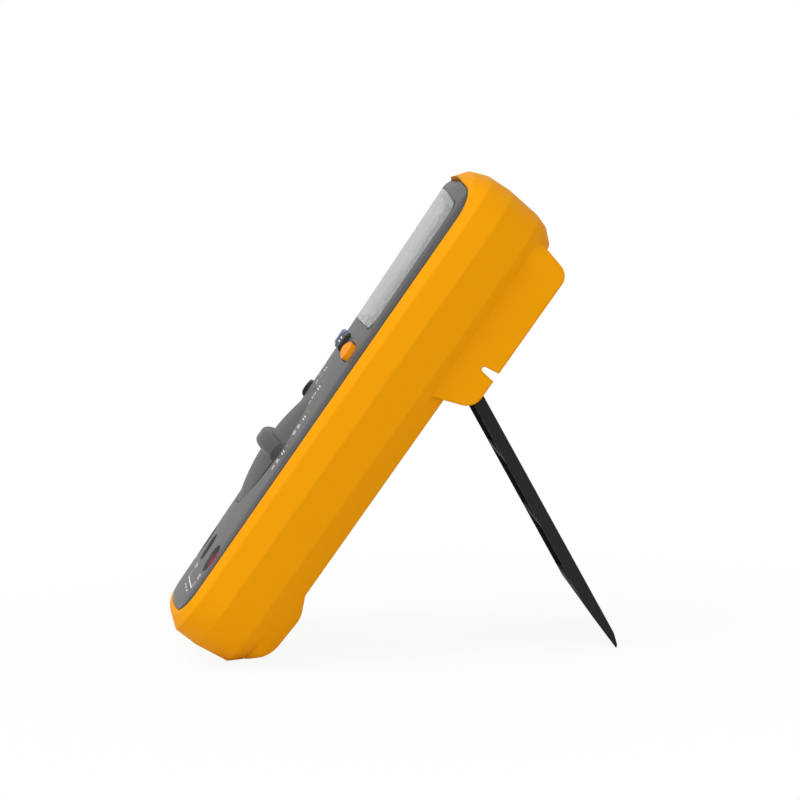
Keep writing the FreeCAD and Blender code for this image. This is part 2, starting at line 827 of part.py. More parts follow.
def crown_height(x, y):
    """How high the face's skin lies over a place on the meter's plan."""
    share = f"(({y}) / waist_high)"
    edge = f"(edge_start + {share} * (edge_finish - edge_start))"
    middle = f"(middle_start + {share} * (middle_finish - middle_start))"
    radius = f"((face_half * face_half + ({middle} - {edge}) ^ 2) / (2 * ({middle} - {edge})))"
    return f"({middle} - {radius} + sqrt({radius} ^ 2 - ({x}) ^ 2))"


def key_barrel(key):
    """The barrel across the meter that rounds a key's two long edges, on a block as wide."""
    x, y, half = KEYS[key]
    sides = (f"{x} - {half}", f"{x} + {half}")
    axis = f"{crown_height(x, y)} + key_rise + key_gap - key_barrel"
    roll = cross_cylinder(f"Roll_{key}", "key_barrel", *sides, y, axis)
    block = box_prism(f"Block_{key}", KEY_FOOT, axis, *sides, f"{y} - key_barrel", f"{y} + key_barrel")
    return fuse(f"Barrel_{key}", roll, block)


def build_front_case():
    """The crowned face with its display window, key holes, dial well, jack holes and bosses."""
    rim = "split + seal_thick / 2"
    droop = side_prism("FaceDroop", [
        ("face_low - case_wall", "flank_height"),
        ("face_low - case_wall", "middle_finish"),
        ("lens_high + lens_gap", "middle_finish"),
        ("face_high", "middle_finish - face_droop"),
        ("face_high", "flank_height"),
    ], "-waist_half", "waist_half")
    droop = rounded("FaceDroopRound", droop, lambda e: along(e, Vector(1, 0, 0))
                    and abs(e.BoundBox.YMax - size("lens_high + lens_gap")) < 0.01, "face_droop_round")
    block = common("FaceBlock", face_prism("FacePrism", rim, "0"), crown("FaceCrown", "0"), droop)
    hollow = common("FaceHollow", face_prism("FaceInside", "split - over", "-case_wall"),
                    crown("FaceCeiling", "-face_wall"))
    cup = cylinder("DialCup", "dial + dial_groove + dial_cup_wall", "dial_floor - dial_cup_wall",
                   "dial_floor + over", "0", "dial_place")
    bosses = [cylinder(f"FaceBoss{number}", "boss", rim, "edge_start", x, y)
              for number, (x, y) in enumerate(screw_places())]
    boss_set = common("FaceBosses", fuse("FaceBossSet", *bosses), crown("BossCrown", "-over"),
                      face_prism("BossLimit", rim, "-case_gap"))
    body = fuse("FaceSolid", cut("FaceShell", block, hollow), cup, boss_set)
    lens_space = cut("LensRecess", lens_prism("LensSpace", "split", "lens_gap"),
                     crown("LensFloor", "-lens_thick"))
    tools = [lens_space, lens_prism("LensWindow", "split", "-lens_ledge")]
    for key in KEYS:
        tools.append(key_prism(f"Hole_{key}", key, "split", "key_gap"))
    tools.append(cylinder("DialWell", "dial + dial_groove", "dial_floor", ABOVE,
                          "0", "dial_place"))
    tools.append(dial_dish())
    tools.append(cylinder("ShaftHole", "shaft + shaft_gap", "split", ABOVE, "0", "dial_place"))
    for number, x in enumerate(jack_sides()):
        tools.append(cylinder(f"JackHole{number}", "jack_well", "split", ABOVE, x, "jack_place"))
    for number, (x, y) in enumerate(screw_places()):
        tools.append(cylinder(f"Pilot{number}", "screw", "split - over",
                              "screw_seat + screw_long + fit_gap", x, y))
    keep("front_case", cut("FrontCase", body, *tools))


def dial_dish():
    """The shallow cone that leads the crowned face down to the dial's rim."""
    dish = doc.addObject("Part::Cone", "DialDish")
    dish.setExpression("Radius1", bound("dial + dial_groove"))
    dish.setExpression("Radius2", bound("dial + dial_groove + dish_wide"))
    dish.setExpression("Height", bound("dish_deep"))
    return place(dish, y="dial_place", z="dial_rim")


def build_lens():
    """The display lens, an even shell of the crown."""
    skin = cut("LensSkin", crown("LensCrown", "0"), crown("LensUnder", "-lens_thick"))
    keep("display_lens", common("Lens", lens_prism("LensPrism", "split", "0"), skin))


def build_keys():
    """Five keys, each a crowned cap on a stem with a flange held under the face."""
    top = crown("KeyCrown", "key_rise")
    under = crown("KeyCeiling", "-face_wall - key_gap")
    floor = crown("KeyFloor", "-face_wall - key_gap - key_flange_thick")
    cup = cylinder("CupRoom", "dial + dial_groove + dial_cup_wall + key_gap", "0", ABOVE,
                   "0", "dial_place")
    flange_layer = cut("KeyLayer", under, floor, cup)
    for key in KEYS:
        cap = common(f"Cap_{key}", key_prism(f"Stem_{key}", key, KEY_FOOT, "0"), top)
        cap = common(f"Soft_{key}", cap, key_barrel(key))
        flange = common(f"Flange_{key}", key_prism(f"Rim_{key}", key, KEY_FOOT, "key_flange"),
                        flange_layer)
        keep(key, fuse(f"Key_{key}", cap, flange))


def build_seal():
    """The flat gasket between the two halves of the case."""
    rim = ("split - seal_thick / 2", "split + seal_thick / 2")
    ring = []
    for name, grow in (("SealOut", "-fit_gap"), ("SealIn", "-fit_gap - seal_wide")):
        ring.append(outline_prism(name, *rim, f"face_half + {grow}", f"face_low - ({grow})",
                                  f"face_high + {grow}", f"face_corner + {grow}"))
    keep("case_seal", cut("Seal", *ring))


# Display stack and circuit board ------------------------------------------------------


def build_display():
    """The glass, its frame, the light guide and the two rubber connector strips."""
    glass_top = "glass_height + glass_thick"
    keep("lcd_glass", box_prism("Glass", "glass_height", glass_top, "-glass_half", "glass_half",
                                "glass_low", "glass_high"))
    wall = "(frame_wall + fit_gap)"
    outer = box_prism("FrameOuter", DECK, f"{glass_top} + frame_lip", f"-glass_half - {wall}",
                      f"glass_half + {wall}", f"glass_low - {wall}", f"glass_high + {wall}")
    seat = box_prism("FrameSeat", "glass_height", ABOVE, "-glass_half - fit_gap",
                     "glass_half + fit_gap", "glass_low - fit_gap", "glass_high + fit_gap")
    well = box_prism("FrameWell", f"{DECK} - over", "glass_height + over", "-glass_half + frame_ledge",
                     "glass_half - frame_ledge", "glass_low + frame_ledge", "glass_high - frame_ledge")
    keep("lcd_frame", cut("LcdFrame", outer, seat, well))
    inset = "(frame_ledge + fit_gap)"
    keep("light_guide", box_prism("Guide", "glass_height - fit_gap - guide_thick", "glass_height - fit_gap",
                                  f"-glass_half + {inset}", f"glass_half - {inset}",
                                  f"glass_low + {inset} + zebra_wide + fit_gap",
                                  f"glass_high - {inset} - zebra_wide - fit_gap"))
    strips = []
    for name, low in (("ZebraLow", f"glass_low + {inset}"),
                      ("ZebraHigh", f"glass_high - {inset} - zebra_wide")):
        strips.append(box_prism(name, DECK, "glass_height", f"-glass_half + {inset} + zebra_end",
                                f"glass_half - {inset} - zebra_end", low, f"{low} + zebra_wide"))
    keep("zebra_strips", group("Zebra", *strips))


def build_board():
    """The circuit board and the rubber keypad that lies on it."""
    keep("main_board", outline_prism("Board", "board_height", DECK, "board_half", "board_low",
                                     "board_high", "board_corner", low_bow="flat_bow", high_bow="flat_bow"))
    wide = "key_pitch * 1.5 + key_half"
    low = "key_outer_place - key_deep - pad_margin"
    plan = draw_polygon(free_sketch("KeypadPlan", "XY_Plane", DECK), [
        (f"-({wide})", "lamp_key_place - key_deep"),
        ("-lamp_key_side + lamp_key_half", "lamp_key_place - key_deep"),
        ("-lamp_key_side + lamp_key_half", low),
        (wide, low),
        (wide, "key_inner_place + key_deep + pad_margin"),
        (f"-({wide})", "key_inner_place + key_deep + pad_margin"),
    ])
    keep("keypad", prism("Keypad", plan, DECK, f"{DECK} + pad_thick"))


# Rotary dial ------------------------------------------------------------------------


def build_dial():
    """The domed dial with two finger scoops and a raised bar grip, on its shaft."""
    body = doc.addObject("Part::Revolution", "DialDome")
    profile = free_sketch("DialProfile", "XZ_Plane", "dial_place")
    rise = "(dial_top - dial_rim)"
    radius = f"(dial * dial + {rise} * {rise}) / (2 * {rise})"
    heart = size(f"dial_top - {radius}")
    under = "dial_floor + dial_under"
    ring = Part.Circle(Vector(0, heart, 0), Vector(0, 0, 1), size(radius))
    angle = math.atan2(size("dial_rim") - heart, size("dial"))
    profile.addGeometry(Part.ArcOfCircle(ring, angle, math.pi / 2), False)
    corners = [("0", "dial_top"), ("0", "rotor_height"), ("shaft", "rotor_height"),
               ("shaft", under), ("dial", under), ("dial", "dial_rim")]
    points = [Vector(size(x), size(y), 0) for x, y in corners]
    for start, finish in zip(points, points[1:]):
        profile.addGeometry(Part.LineSegment(start, finish), False)
    for first in range(6):
        profile.addConstraint(Sketcher.Constraint("Coincident", first, 2, (first + 1) % 6, 1))
    for line, (x, y) in enumerate(corners[:5], start=1):
        pin_down(profile, "DistanceX", line, 1, x)
        pin_down(profile, "DistanceY", line, 1, y)
    pin_down(profile, "DistanceX", 0, 1, "dial")
    pin_down(profile, "DistanceY", 0, 1, "dial_rim")
    set_radius(profile, 0, radius)
    body.Source = profile
    body.Axis = Vector(0, 0, 1)
    place(body, y="dial_place", inside="Base")
    body.Angle = 360
    body.Solid = True
    scoops = []
    for name, side in (("ScoopLeft", "-"), ("ScoopRight", "")):
        scoop = doc.addObject("Part::Ellipsoid", name)
        scoop.setExpression("Radius1", bound("scoop_deep"))
        scoop.setExpression("Radius2", bound("scoop_long"))
        scoop.setExpression("Radius3", bound("scoop_deep"))
        scoop.Angle1 = -90
        scoop.Angle2 = 90
        place(scoop, y=f"dial_place + {side}scoop_side", z="scoop_height")
        scoops.append(scoop)
    bowl = cut("DialBowl", body, *scoops)
    arch_rise = "(grip_top - grip_end)"
    arch = f"(dial * dial + {arch_rise} * {arch_rise}) / (2 * {arch_rise})"
    spine = cross_arch("GripArch", arch, "grip_top", "grip_half")
    grip = rounded("Grip", spine, lambda e: e.BoundBox.ZMax > size("grip_end + fit_gap")
                   and e.BoundBox.XLength > size("dial"), "grip_round")
    limit = cylinder("GripLimit", "dial - grip_inset", "dial_rim - grip_root", ABOVE, "0", "dial_place")
    keep("dial_knob", fuse("DialKnob", bowl, common("GripTrim", grip, limit)))


def cross_arch(name, radius, top, half):
    """A bar along X whose top is a gentle arch."""
    disc = doc.addObject("Part::Cylinder", name + "Disc")
    disc.setExpression("Radius", bound(radius))
    disc.setExpression("Height", bound(f"2 * {half}"))
    disc.Placement = Placement(Vector(), Rotation(Vector(1, 0, 0), -90))
    place(disc, y=f"dial_place - {half}", z=f"{top} - {radius}")
    slab = box_prism(name + "Slab", "dial_rim - grip_root", f"{top} + over", "-dial", "dial",
                     f"dial_place - {half}", f"dial_place + {half}")
    return common(name, disc, slab)


def build_rotor():
    """The notched rotor on the dial's shaft, its contact fingers and the detent spring."""
    disc = cylinder("RotorDisc", "rotor", "rotor_height", "rotor_height + rotor_thick",
                    "0", "dial_place")
    hub = cylinder("RotorHub", "rotor_hub", "rotor_height", "rotor_height + rotor_hub_high",
                   "0", "dial_place")
    bore = cylinder("RotorBore", "shaft", "rotor_height - over", "dial_floor", "0", "dial_place")
    notches = []
    for number in range(int(size("detents"))):
        angle = f"{number} * 360 / detents"
        notches.append(cylinder(f"Detent{number}", "detent_cut", "rotor_height - over",
                                "rotor_height + rotor_thick + over", f"rotor * cos(({angle}) * 1deg)",
                                f"dial_place + rotor * sin(({angle}) * 1deg)"))
    keep("knob_rotor", cut("KnobRotor", fuse("RotorSolid", disc, hub), bore, *notches))
    fingers = []
    for number in range(CONTACT_FINGERS):
        finger = doc.addObject("Part::Box", f"Finger{number}")
        finger.setExpression("Length", bound("rotor - rotor_hub - finger_short"))
        finger.setExpression("Width", bound("finger_wide"))
        finger.setExpression("Height", bound("rotor_height - board_height - board_thick - key_gap"))
        turn = math.tau * (number + 0.5) / CONTACT_FINGERS
        finger.Placement = Placement(Vector(), Rotation(Vector(0, 0, 1), math.degrees(turn)))
        place(finger, x=f"rotor_hub * {math.cos(turn):.6f}",
              y=f"dial_place + rotor_hub * {math.sin(turn):.6f}",
              z="board_height + board_thick + key_gap")
        fingers.append(finger)
    keep("rotor_contacts", group("RotorContacts", *fingers))
    leaf = box_prism("DetentLeaf", DECK, "rotor_height + rotor_thick", "rotor + key_gap",
                     "rotor + key_gap + leaf_thick", "dial_place - leaf_half",
                     "dial_place + leaf_half")
    foot = box_prism("DetentFoot", DECK, f"{DECK} + leaf_thick", "rotor + key_gap",
                     "rotor + leaf_reach", "dial_place - leaf_half / 2", "dial_place + leaf_half / 2")
    keep("detent_spring", fuse("DetentSpring", leaf, foot))


# Input jacks ---------------------------------------------------------------------------


def jack_sides():
    """Where the four jacks stand across the meter, from left to right."""
    return [f"({share}) * jack_pitch" for share in (-1.5, -0.5, 0.5, 1.5)]


def build_jacks():
    """The insulating block with four wells, a metal sleeve and a collar in each."""
    block = common("JackBlockBody",
                   outline_prism("JackBlockPlan", BLOCK_FOOT, ABOVE, "block_half", "block_low",
                                 "block_high", "(block_high - block_low) / 2 - case_gap",
                                 low_bow="flat_bow", high_bow="flat_bow"),
                   crown("JackCrown", "-face_wall - case_gap"),
                   meter_space("JackRoom", "-case_wall - block_gap", ABOVE, "rear_height"))
    tools = []
    for number, x in enumerate(jack_sides()):
        at = (x, "jack_place")
        tools.append(cylinder(f"Well{number}", "jack_well - jack_ring_wall", "jack_seat",
                              ABOVE, *at))
        tools.append(cylinder(f"Step{number}", "jack_well", "jack_ring_foot", ABOVE, *at))
        tools.append(cylinder(f"Seat{number}", "jack_sleeve", f"{BLOCK_FOOT} - over",
                              "jack_seat + over", *at))
    keep("jack_block", cut("JackBlock", block, *tools))
    for number, x in enumerate(jack_sides(), start=1):
        at = (x, "jack_place")
        sleeve = cut(f"Sleeve{number}",
                     cylinder(f"SleeveOut{number}", "jack_sleeve", BLOCK_FOOT, "jack_top", *at),
                     cylinder(f"SleeveIn{number}", "jack_bore", "jack_bottom", "jack_top + over", *at))
        keep(f"jack_sleeve_{number}", sleeve)
        tube = cut(f"Collar{number}",
                   cylinder(f"CollarOut{number}", "jack_well - collar_gap", "jack_ring_foot",
                            ABOVE, *at),
                   cylinder(f"CollarIn{number}", "jack_well - jack_ring_wall", "jack_ring_foot - over",
                            ABOVE, *at))
        level = crown(f"CollarLevel{number}", "-jack_ring_drop")
        keep(f"jack_collar_{number}", common(f"JackCollar{number}", tube, level))


# Fuses, battery and door ------------------------------------------------------------------


def build_fuses():
    """Two fuses in spring clips under the board."""
    level = "board_height - clip_base - clip_gap - fuse"
    clips = []
    for number in range(2):
        y = f"fuse_place + {number} * fuse_pitch"
        ends = ("-fuse_side - fuse_long / 2", "-fuse_side + fuse_long / 2")
        tube = cross_cylinder(f"FuseTube{number}", "fuse", *ends, y, level)
        keep(f"fuse_{number + 1}", group(f"Fuse{number}", tube))
        for side, left in enumerate((f"{ends[0]} + clip_inset", f"{ends[1]} - clip_inset - clip_wide")):
            name = f"Clip{number}{side}"
            reach = "(fuse + clip_gap + clip_wall)"
            block = box_prism(name + "Block", f"{level} - fuse * clip_share", "board_height", left,
                              f"{left} + clip_wide", f"{y} - {reach}", f"{y} + {reach}")
            hole = cross_cylinder(name + "Hole", "fuse + clip_gap", f"{left} - over",
                                  f"{left} + clip_wide + over", y, level)
            clips.append(cut(name, block, hole))
    keep("fuse_clips", group("FuseClips", *clips))


def build_battery():
    """The nine volt battery with its two terminals, and the contact plate it snaps to."""
    left = f"-{WELL_HALF} + well_wall + fit_gap"
    right = f"{left} + battery_long"
    middle = "battery_place"
    case = box_prism("BatteryCase", BATTERY_FOOT, f"{BATTERY_FOOT} + battery_thick", left, right,
                     f"{middle} - battery_wide / 2", f"{middle} + battery_wide / 2")
    level = f"{BATTERY_FOOT} + battery_thick / 2"
    posts = []
    snaps = []
    for number, side in enumerate(("-", "")):
        y = f"{middle} + {side}terminal_pitch / 2"
        tip = f"{right} + terminal_high"
        posts.append(cross_cylinder(f"Terminal{number}", "terminal", right, tip, y, level))
        snaps.append(cross_cylinder(f"Snap{number}", "terminal + snap_wall", tip,
                                    f"{tip} + snap_thick", y, level))
    keep("battery", fuse("Battery", case, *posts))
    back = f"{right} + terminal_high + snap_thick"
    plate = box_prism("SnapPlate", f"{level} - plate_half_high", f"{level} + plate_half_high", back,
                      f"{back} + plate_thick", f"{middle} - plate_half", f"{middle} + plate_half")
    keep("battery_contacts", fuse("BatteryContacts", plate, *snaps))


def build_door():
    """The battery door in the box's back and its quarter-turn fastener."""
    door = well_prism("DoorPlate", "door_sink", "door_sink + door_thick", "0")
    at = (LATCH_SIDE, "battery_place")
    sunk = cylinder("HeadSeat", "latch_head + latch_gap / 3", "0", "door_sink + latch_head_thick", *at)
    hole = cylinder("ShankHole", "latch_shank + latch_gap / 3", "0", "door_thick + over", *at)
    keep("battery_door", cut("BatteryDoor", door, sunk, hole))
    head = cylinder("LatchHead", "latch_head", "door_sink", "door_sink + latch_head_thick - fit_gap / 2", *at)
    shank = cylinder("LatchShank", "latch_shank", "door_sink", "latch_deep - latch_gap", *at)
    wing = box_prism("LatchWing", "latch_deep - latch_gap - latch_wing_thick", "latch_deep - latch_gap",
                     f"{LATCH_SIDE} - latch_shank", f"{LATCH_SIDE} + latch_shank",
                     "battery_place - latch_wing", "battery_place + latch_wing")
    wing_end = cylinder("LatchWingEnd", "latch_wing", "0", "latch_deep + over", *at)
    slot = box_prism("LatchSlot", "0", "door_sink + latch_head_thick / 2", f"{LATCH_SIDE} - latch_slot / 2",
                     f"{LATCH_SIDE} + latch_slot / 2", "battery_place - latch_head - latch_gap",
                     "battery_place + latch_head + latch_gap")
    solid = fuse("LatchSolid", head, shank, common("LatchWings", wing, wing_end))
    keep("door_fastener", cut("DoorFastener", solid, slot))


# Loose hardware -----------------------------------------------------------------------------


def build_hardware():
    """The case screws, the shield plate and the buzzer."""
    screws = []
    for number, (x, y) in enumerate(screw_places()):
        head = cylinder(f"Head{number}", "screw_head", "screw_seat - screw_head_high", "screw_seat", x, y)
        shank = cylinder(f"Shank{number}", "screw", "screw_seat - over", "screw_seat + screw_long", x, y)
        screws.append(fuse(f"Screw{number}", head, shank))
    keep("case_screws", group("CaseScrews", *screws))
    keep("shield", box_prism("ShieldPlate", "rear_height + case_wall",
                             "rear_height + case_wall + shield_thick", "-shield_half", "shield_half",
                             "shield_low", "shield_high"))
    disc = cylinder("BuzzerDisc", "buzzer", "board_height - buzzer_high", "board_height",
                    "buzzer_side", "buzzer_place")
    keep("buzzer", group("Buzzer", disc))


# Pose ------------------------------------------------------------------------------------------


def floor_height():
    """The leaning holster's lowest crease, measured up from the drawing's origin."""
    lean = math.radians(size("lean"))
    return min(size(f"{level}_low") * math.sin(lean) + size(f"{level}_height") * math.cos(lean)
               for level in LEVELS)


def stand_opening():
    """How far the stand opens, in degrees, for its foot to meet the floor."""
    lean = math.radians(size("lean"))
    height = size("pivot_place") * math.sin(lean) + size("pivot_height") * math.cos(lean)
    reach = size("stand_long")
    inner = size("stand_tip - stand_outer")
    sine = (height - floor_height()) / math.hypot(reach, inner)
    return math.degrees(math.pi - math.asin(sine) + math.atan2(inner, reach)) - size("lean")


def pose(shift):
    """Where the meter stands: leaned back about its cross axis, then moved."""
    return Placement(shift, Rotation(Vector(1, 0, 0), size("lean")))


def set_poses(shift):
    """Give every piece its place, with the stand opened on its pivot."""
    whole = pose(shift)
    pivot = Vector(0, size("pivot_place"), size("pivot_height"))
    opened = Placement(pivot, Rotation(Vector(1, 0, 0), stand_opening()))
    for label, item in pieces.items():
        item.Placement = whole.multiply(opened) if label == "tilt_stand" else whole
    doc.recompute()


def build():
    """Draw every piece, stand the meter on its floor, check it and write the files."""
    build_holster()
    build_stand()
    build_front_case()
    build_rear_case()
    build_seal()
    build_lens()
    build_display()
    build_board()
    build_keys()
    build_dial()
    build_rotor()
    build_jacks()
    build_fuses()
    build_battery()
    build_door()
    build_hardware()
    doc.recompute()
    set_poses(Vector())
    box = FreeCAD.BoundBox()
    for item in pieces.values():
        box.add(item.Shape.optimalBoundingBox(False))
    set_poses(Vector(-box.Center.x, -box.Center.y, -box.ZMin))
    for item in doc.Objects:
        if {"Invalid", "Error"} & set(item.State):
            raise RuntimeError(f"{item.Label} did not build: {item.State}")
    for label, item in pieces.items():
        if item.Shape.isNull() or not item.Shape.isValid() or not item.Shape.Solids:
            raise RuntimeError(f"{label} is not a valid solid")
    os.makedirs("parts", exist_ok=True)
    for label, item in pieces.items():
        item.Shape.exportStep(f"parts/{label}.step")
    print("stand opens", round(stand_opening(), 3), "shift", tuple(round(-v, 4) for v in box.Center))
    print("size", [round(v, 2) for v in (box.XLength, box.YLength, box.ZLength)])


build()
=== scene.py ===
"""Looks of a hand-held digital multimeter in a faceted yellow holster, on its open tilt stand."""

from __future__ import annotations

import json
import logging
import math
from dataclasses import dataclass, field
from enum import Enum
from typing import Any, Iterable, Sequence

import bmesh
import bpy
from mathutils import Matrix, Vector
from mathutils.bvhtree import BVHTree

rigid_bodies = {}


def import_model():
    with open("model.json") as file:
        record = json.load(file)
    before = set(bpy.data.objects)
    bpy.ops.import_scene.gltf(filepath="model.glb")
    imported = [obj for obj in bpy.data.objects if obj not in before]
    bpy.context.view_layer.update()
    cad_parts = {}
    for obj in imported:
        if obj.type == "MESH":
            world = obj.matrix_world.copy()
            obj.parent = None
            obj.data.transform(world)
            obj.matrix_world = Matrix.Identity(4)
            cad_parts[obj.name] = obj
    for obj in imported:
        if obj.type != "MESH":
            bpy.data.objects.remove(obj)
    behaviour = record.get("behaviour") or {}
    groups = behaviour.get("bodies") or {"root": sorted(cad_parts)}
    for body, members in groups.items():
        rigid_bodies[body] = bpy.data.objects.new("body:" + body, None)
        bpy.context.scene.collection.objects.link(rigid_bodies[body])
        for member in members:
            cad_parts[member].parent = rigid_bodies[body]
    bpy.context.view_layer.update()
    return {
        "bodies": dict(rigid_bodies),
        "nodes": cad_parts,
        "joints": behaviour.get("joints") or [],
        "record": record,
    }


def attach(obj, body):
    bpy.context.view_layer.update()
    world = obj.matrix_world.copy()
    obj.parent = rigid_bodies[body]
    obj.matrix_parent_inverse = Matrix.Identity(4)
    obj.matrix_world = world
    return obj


LOG = logging.getLogger("multimeter")
MM = 0.001
Colour = tuple[float, float, float]
WHITE: Colour = (1.0, 1.0, 1.0)

# Patterns in the finishes: scales are per metre, spans and strengths are shares.
DRIFT_SCALE = 18.0
SMEAR_SCALE = 140.0
SMEAR_SPAN = 0.12
GRAIN_STRENGTH = 0.6
# Width over which the painted shade at the face's sides fades in, in metres.
PAINTED_RIM_BLEND = 0.005
COAT_ROUGHNESS = 0.08
EDGE_SAMPLES = 4
BRUSH_SCALE = 900.0
BRUSH_STRETCH = (1.0, 12.0, 1.0)
BRUSH_STRENGTH = 0.5
STAIN_SCALE = 90.0
STAIN_SPAN = 0.16
STAIN_DARK = 0.86
WIPE_SCALE = 60.0
WIPE_SPAN = 0.05
WINDOW_IOR = 1.49

# Prints: where rays start above the face, about how high the face is, and how letters are made.
RAY_START = 1.0
FACE_LEVEL = 0.045
LETTER_STEPS = 3
BAR_STEPS = 4
WELD = 1e-7


# Shader maths ------------------------------------------------------------------


class Tree:
    """A node tree, with one method that adds any node."""

    def __init__(self, owner: bpy.types.Material | bpy.types.World) -> None:
        """Start from an empty tree.

        Args:
            owner: The material or world whose nodes are built.
        """
        owner.use_nodes = True
        self.nodes = owner.node_tree.nodes
        self.links = owner.node_tree.links
        self.nodes.clear()

    def add(self, kind: str, settings: dict[str, Any] | None = None, **sockets: Any) -> bpy.types.Node:
        """Add one node.

        Args:
            kind: The node's type, without its ShaderNode prefix.
            settings: Properties to set first, such as an operation.
            sockets: Values or links of the inputs, by name with spaces as underscores, or by
                number as in i0.

        Returns:
            The new node.
        """
        node = self.nodes.new("ShaderNode" + kind)
        for name, value in (settings or {}).items():
            setattr(node, name, value)
        for name, value in sockets.items():
            self._plug(self._find(node, name), value)
        return node

    @staticmethod
    def _find(node: bpy.types.Node, name: str) -> bpy.types.NodeSocket:
        """Find an input by its number or its name.

        Args:
            node: The node.
            name: The input's name with spaces as underscores, or its number as in i0.

        Returns:
            The input.
        """
        if name[0] == "i" and name[1:].isdigit():
            return node.inputs[int(name[1:])]
        return node.inputs[name.replace("_", " ")]

    def _plug(self, socket: bpy.types.NodeSocket, value: Any) -> None:
        """Link or set one input.

        Args:
            socket: The input.
            value: A wrapped socket, a socket, a colour or a number.
        """
        if isinstance(value, Value):
            self.links.new(value.socket, socket)
        elif isinstance(value, bpy.types.NodeSocket):
            self.links.new(value, socket)
        elif isinstance(value, tuple) and len(value) == 3 and socket.type == "RGBA":
            socket.default_value = (*value, 1.0)
        else:
            socket.default_value = value

    def value(self, kind: str, output: str | int = 0, settings: dict[str, Any] | None = None,
              **sockets: Any) -> Value:
        """Add a node and wrap one of its outputs for use in expressions.

        Args:
            kind: The node's type, without its ShaderNode prefix.
            output: The output's name or number.
            settings: Properties to set first, such as an operation.
            sockets: Values or links of the inputs, named as for add.

        Returns:
            The wrapped output.
        """
        return Value(self, self.add(kind, settings, **sockets).outputs[output])


@dataclass(frozen=True)
class Value:
    """A socket that takes part in Python arithmetic, adding Math nodes.

    Args:
        tree: The tree that the socket is in.
        socket: The output that holds the value.
    """

    tree: Tree
    socket: bpy.types.NodeSocket

    def _math(self, operation: str, first: Any, second: Any) -> Value:
        """One Math node on two values."""
        return self.tree.value("Math", 0, {"operation": operation}, i0=first, i1=second)

    def __add__(self, other: Value | float) -> Value:
        """Sum."""
        return self._math("ADD", self, other)

    def __radd__(self, other: float) -> Value:
        """Sum with a number first."""
        return self._math("ADD", other, self)

    def __sub__(self, other: Value | float) -> Value:
        """Difference."""
        return self._math("SUBTRACT", self, other)

    def __rsub__(self, other: float) -> Value:
        """Difference with a number first."""
        return self._math("SUBTRACT", other, self)

    def __mul__(self, other: Value | float) -> Value:
        """Product."""
        return self._math("MULTIPLY", self, other)

    def __rmul__(self, other: float) -> Value:
        """Product with a number first."""
        return self._math("MULTIPLY", other, self)


# Finishes ----------------------------------------------------------------------


@dataclass(frozen=True)
class Moulded:
    """Moulded plastic or rubber with a fine spark-eroded grain.

    Args:
        name: The material's name.
        colour: Base colour, linear.
        roughness: How dull the surface is.
        grain: Depth of the grain, in metres.
        grain_size: Width of one grain, in metres.
        mottle: How far the colour drifts over the piece, as a share.
        edge: Radius of the softened edges, in metres.
        coat: Weight of a clear gloss over the colour.
        gloss: Specular level.
        rim: Distance from the meter's middle line where the painted shade on its sides starts, in metres,
            or 0.
        painted_rim_shade: What share of the colour the painted shade leaves at the sides.
    """

    name: str
    colour: Colour
    roughness: float = 0.5
    grain: float = 0.00002
    grain_size: float = 0.0004
    mottle: float = 0.06
    edge: float = 0.0004
    coat: float = 0.0
    gloss: float = 0.5
    rim: float = 0.0
    painted_rim_shade: float = 0.35

    def make(self) -> bpy.types.Material:
        """Build the material.

        Returns:
            The finished material.
        """
        material = bpy.data.materials.new(self.name)
        tree = Tree(material)
        where = tree.add("TexCoord").outputs["Object"]
        drift = tree.value("TexNoise", "Fac", i2=DRIFT_SCALE, Vector=where, Detail=3.0)
        pores = tree.value("TexNoise", "Fac", Vector=where, Scale=1.0 / self.grain_size, Detail=2.0)
        smear = tree.value("TexNoise", "Fac", Vector=where, Scale=SMEAR_SCALE, Detail=4.0)
        dark = tuple(channel * (1.0 - self.mottle) for channel in self.colour)
        light = tuple(min(1.0, channel * (1.0 + self.mottle)) for channel in self.colour)
        tint = tree.value("Mix", "Result", {"data_type": "RGBA"}, i0=drift, i6=dark, i7=light)
        # Painted shade: the colour darkens towards the meter's sides, past the given distance from its
        # middle line.
        if self.rim:
            across = tree.add("SeparateXYZ", None, Vector=where).outputs["X"]
            aside = tree.value("Math", 0, {"operation": "ABSOLUTE"}, i0=across)
            side = tree.value("MapRange", 0, {"interpolation_type": "SMOOTHSTEP"}, Value=aside,
                              From_Min=self.rim, From_Max=self.rim + PAINTED_RIM_BLEND)
            painted_rim_colour = tuple(channel * self.painted_rim_shade for channel in self.colour)
            tint = tree.value("Mix", "Result", {"data_type": "RGBA"}, i0=side, i6=tint, i7=painted_rim_colour)
        round_edges = tree.add("Bevel", {"samples": EDGE_SAMPLES}, Radius=self.edge)
        bump = tree.value("Bump", "Normal", Height=pores, Distance=self.grain,
                          Strength=GRAIN_STRENGTH, Normal=round_edges.outputs["Normal"])
        rough = self.roughness - SMEAR_SPAN / 2 + smear * SMEAR_SPAN
        shader = tree.add("BsdfPrincipled", None, Base_Color=tint, Roughness=rough, Normal=bump,
                          Coat_Weight=self.coat, Coat_Roughness=COAT_ROUGHNESS,
                          Specular_IOR_Level=self.gloss)
        tree.add("OutputMaterial", None, Surface=shader.outputs["BSDF"])
        return material


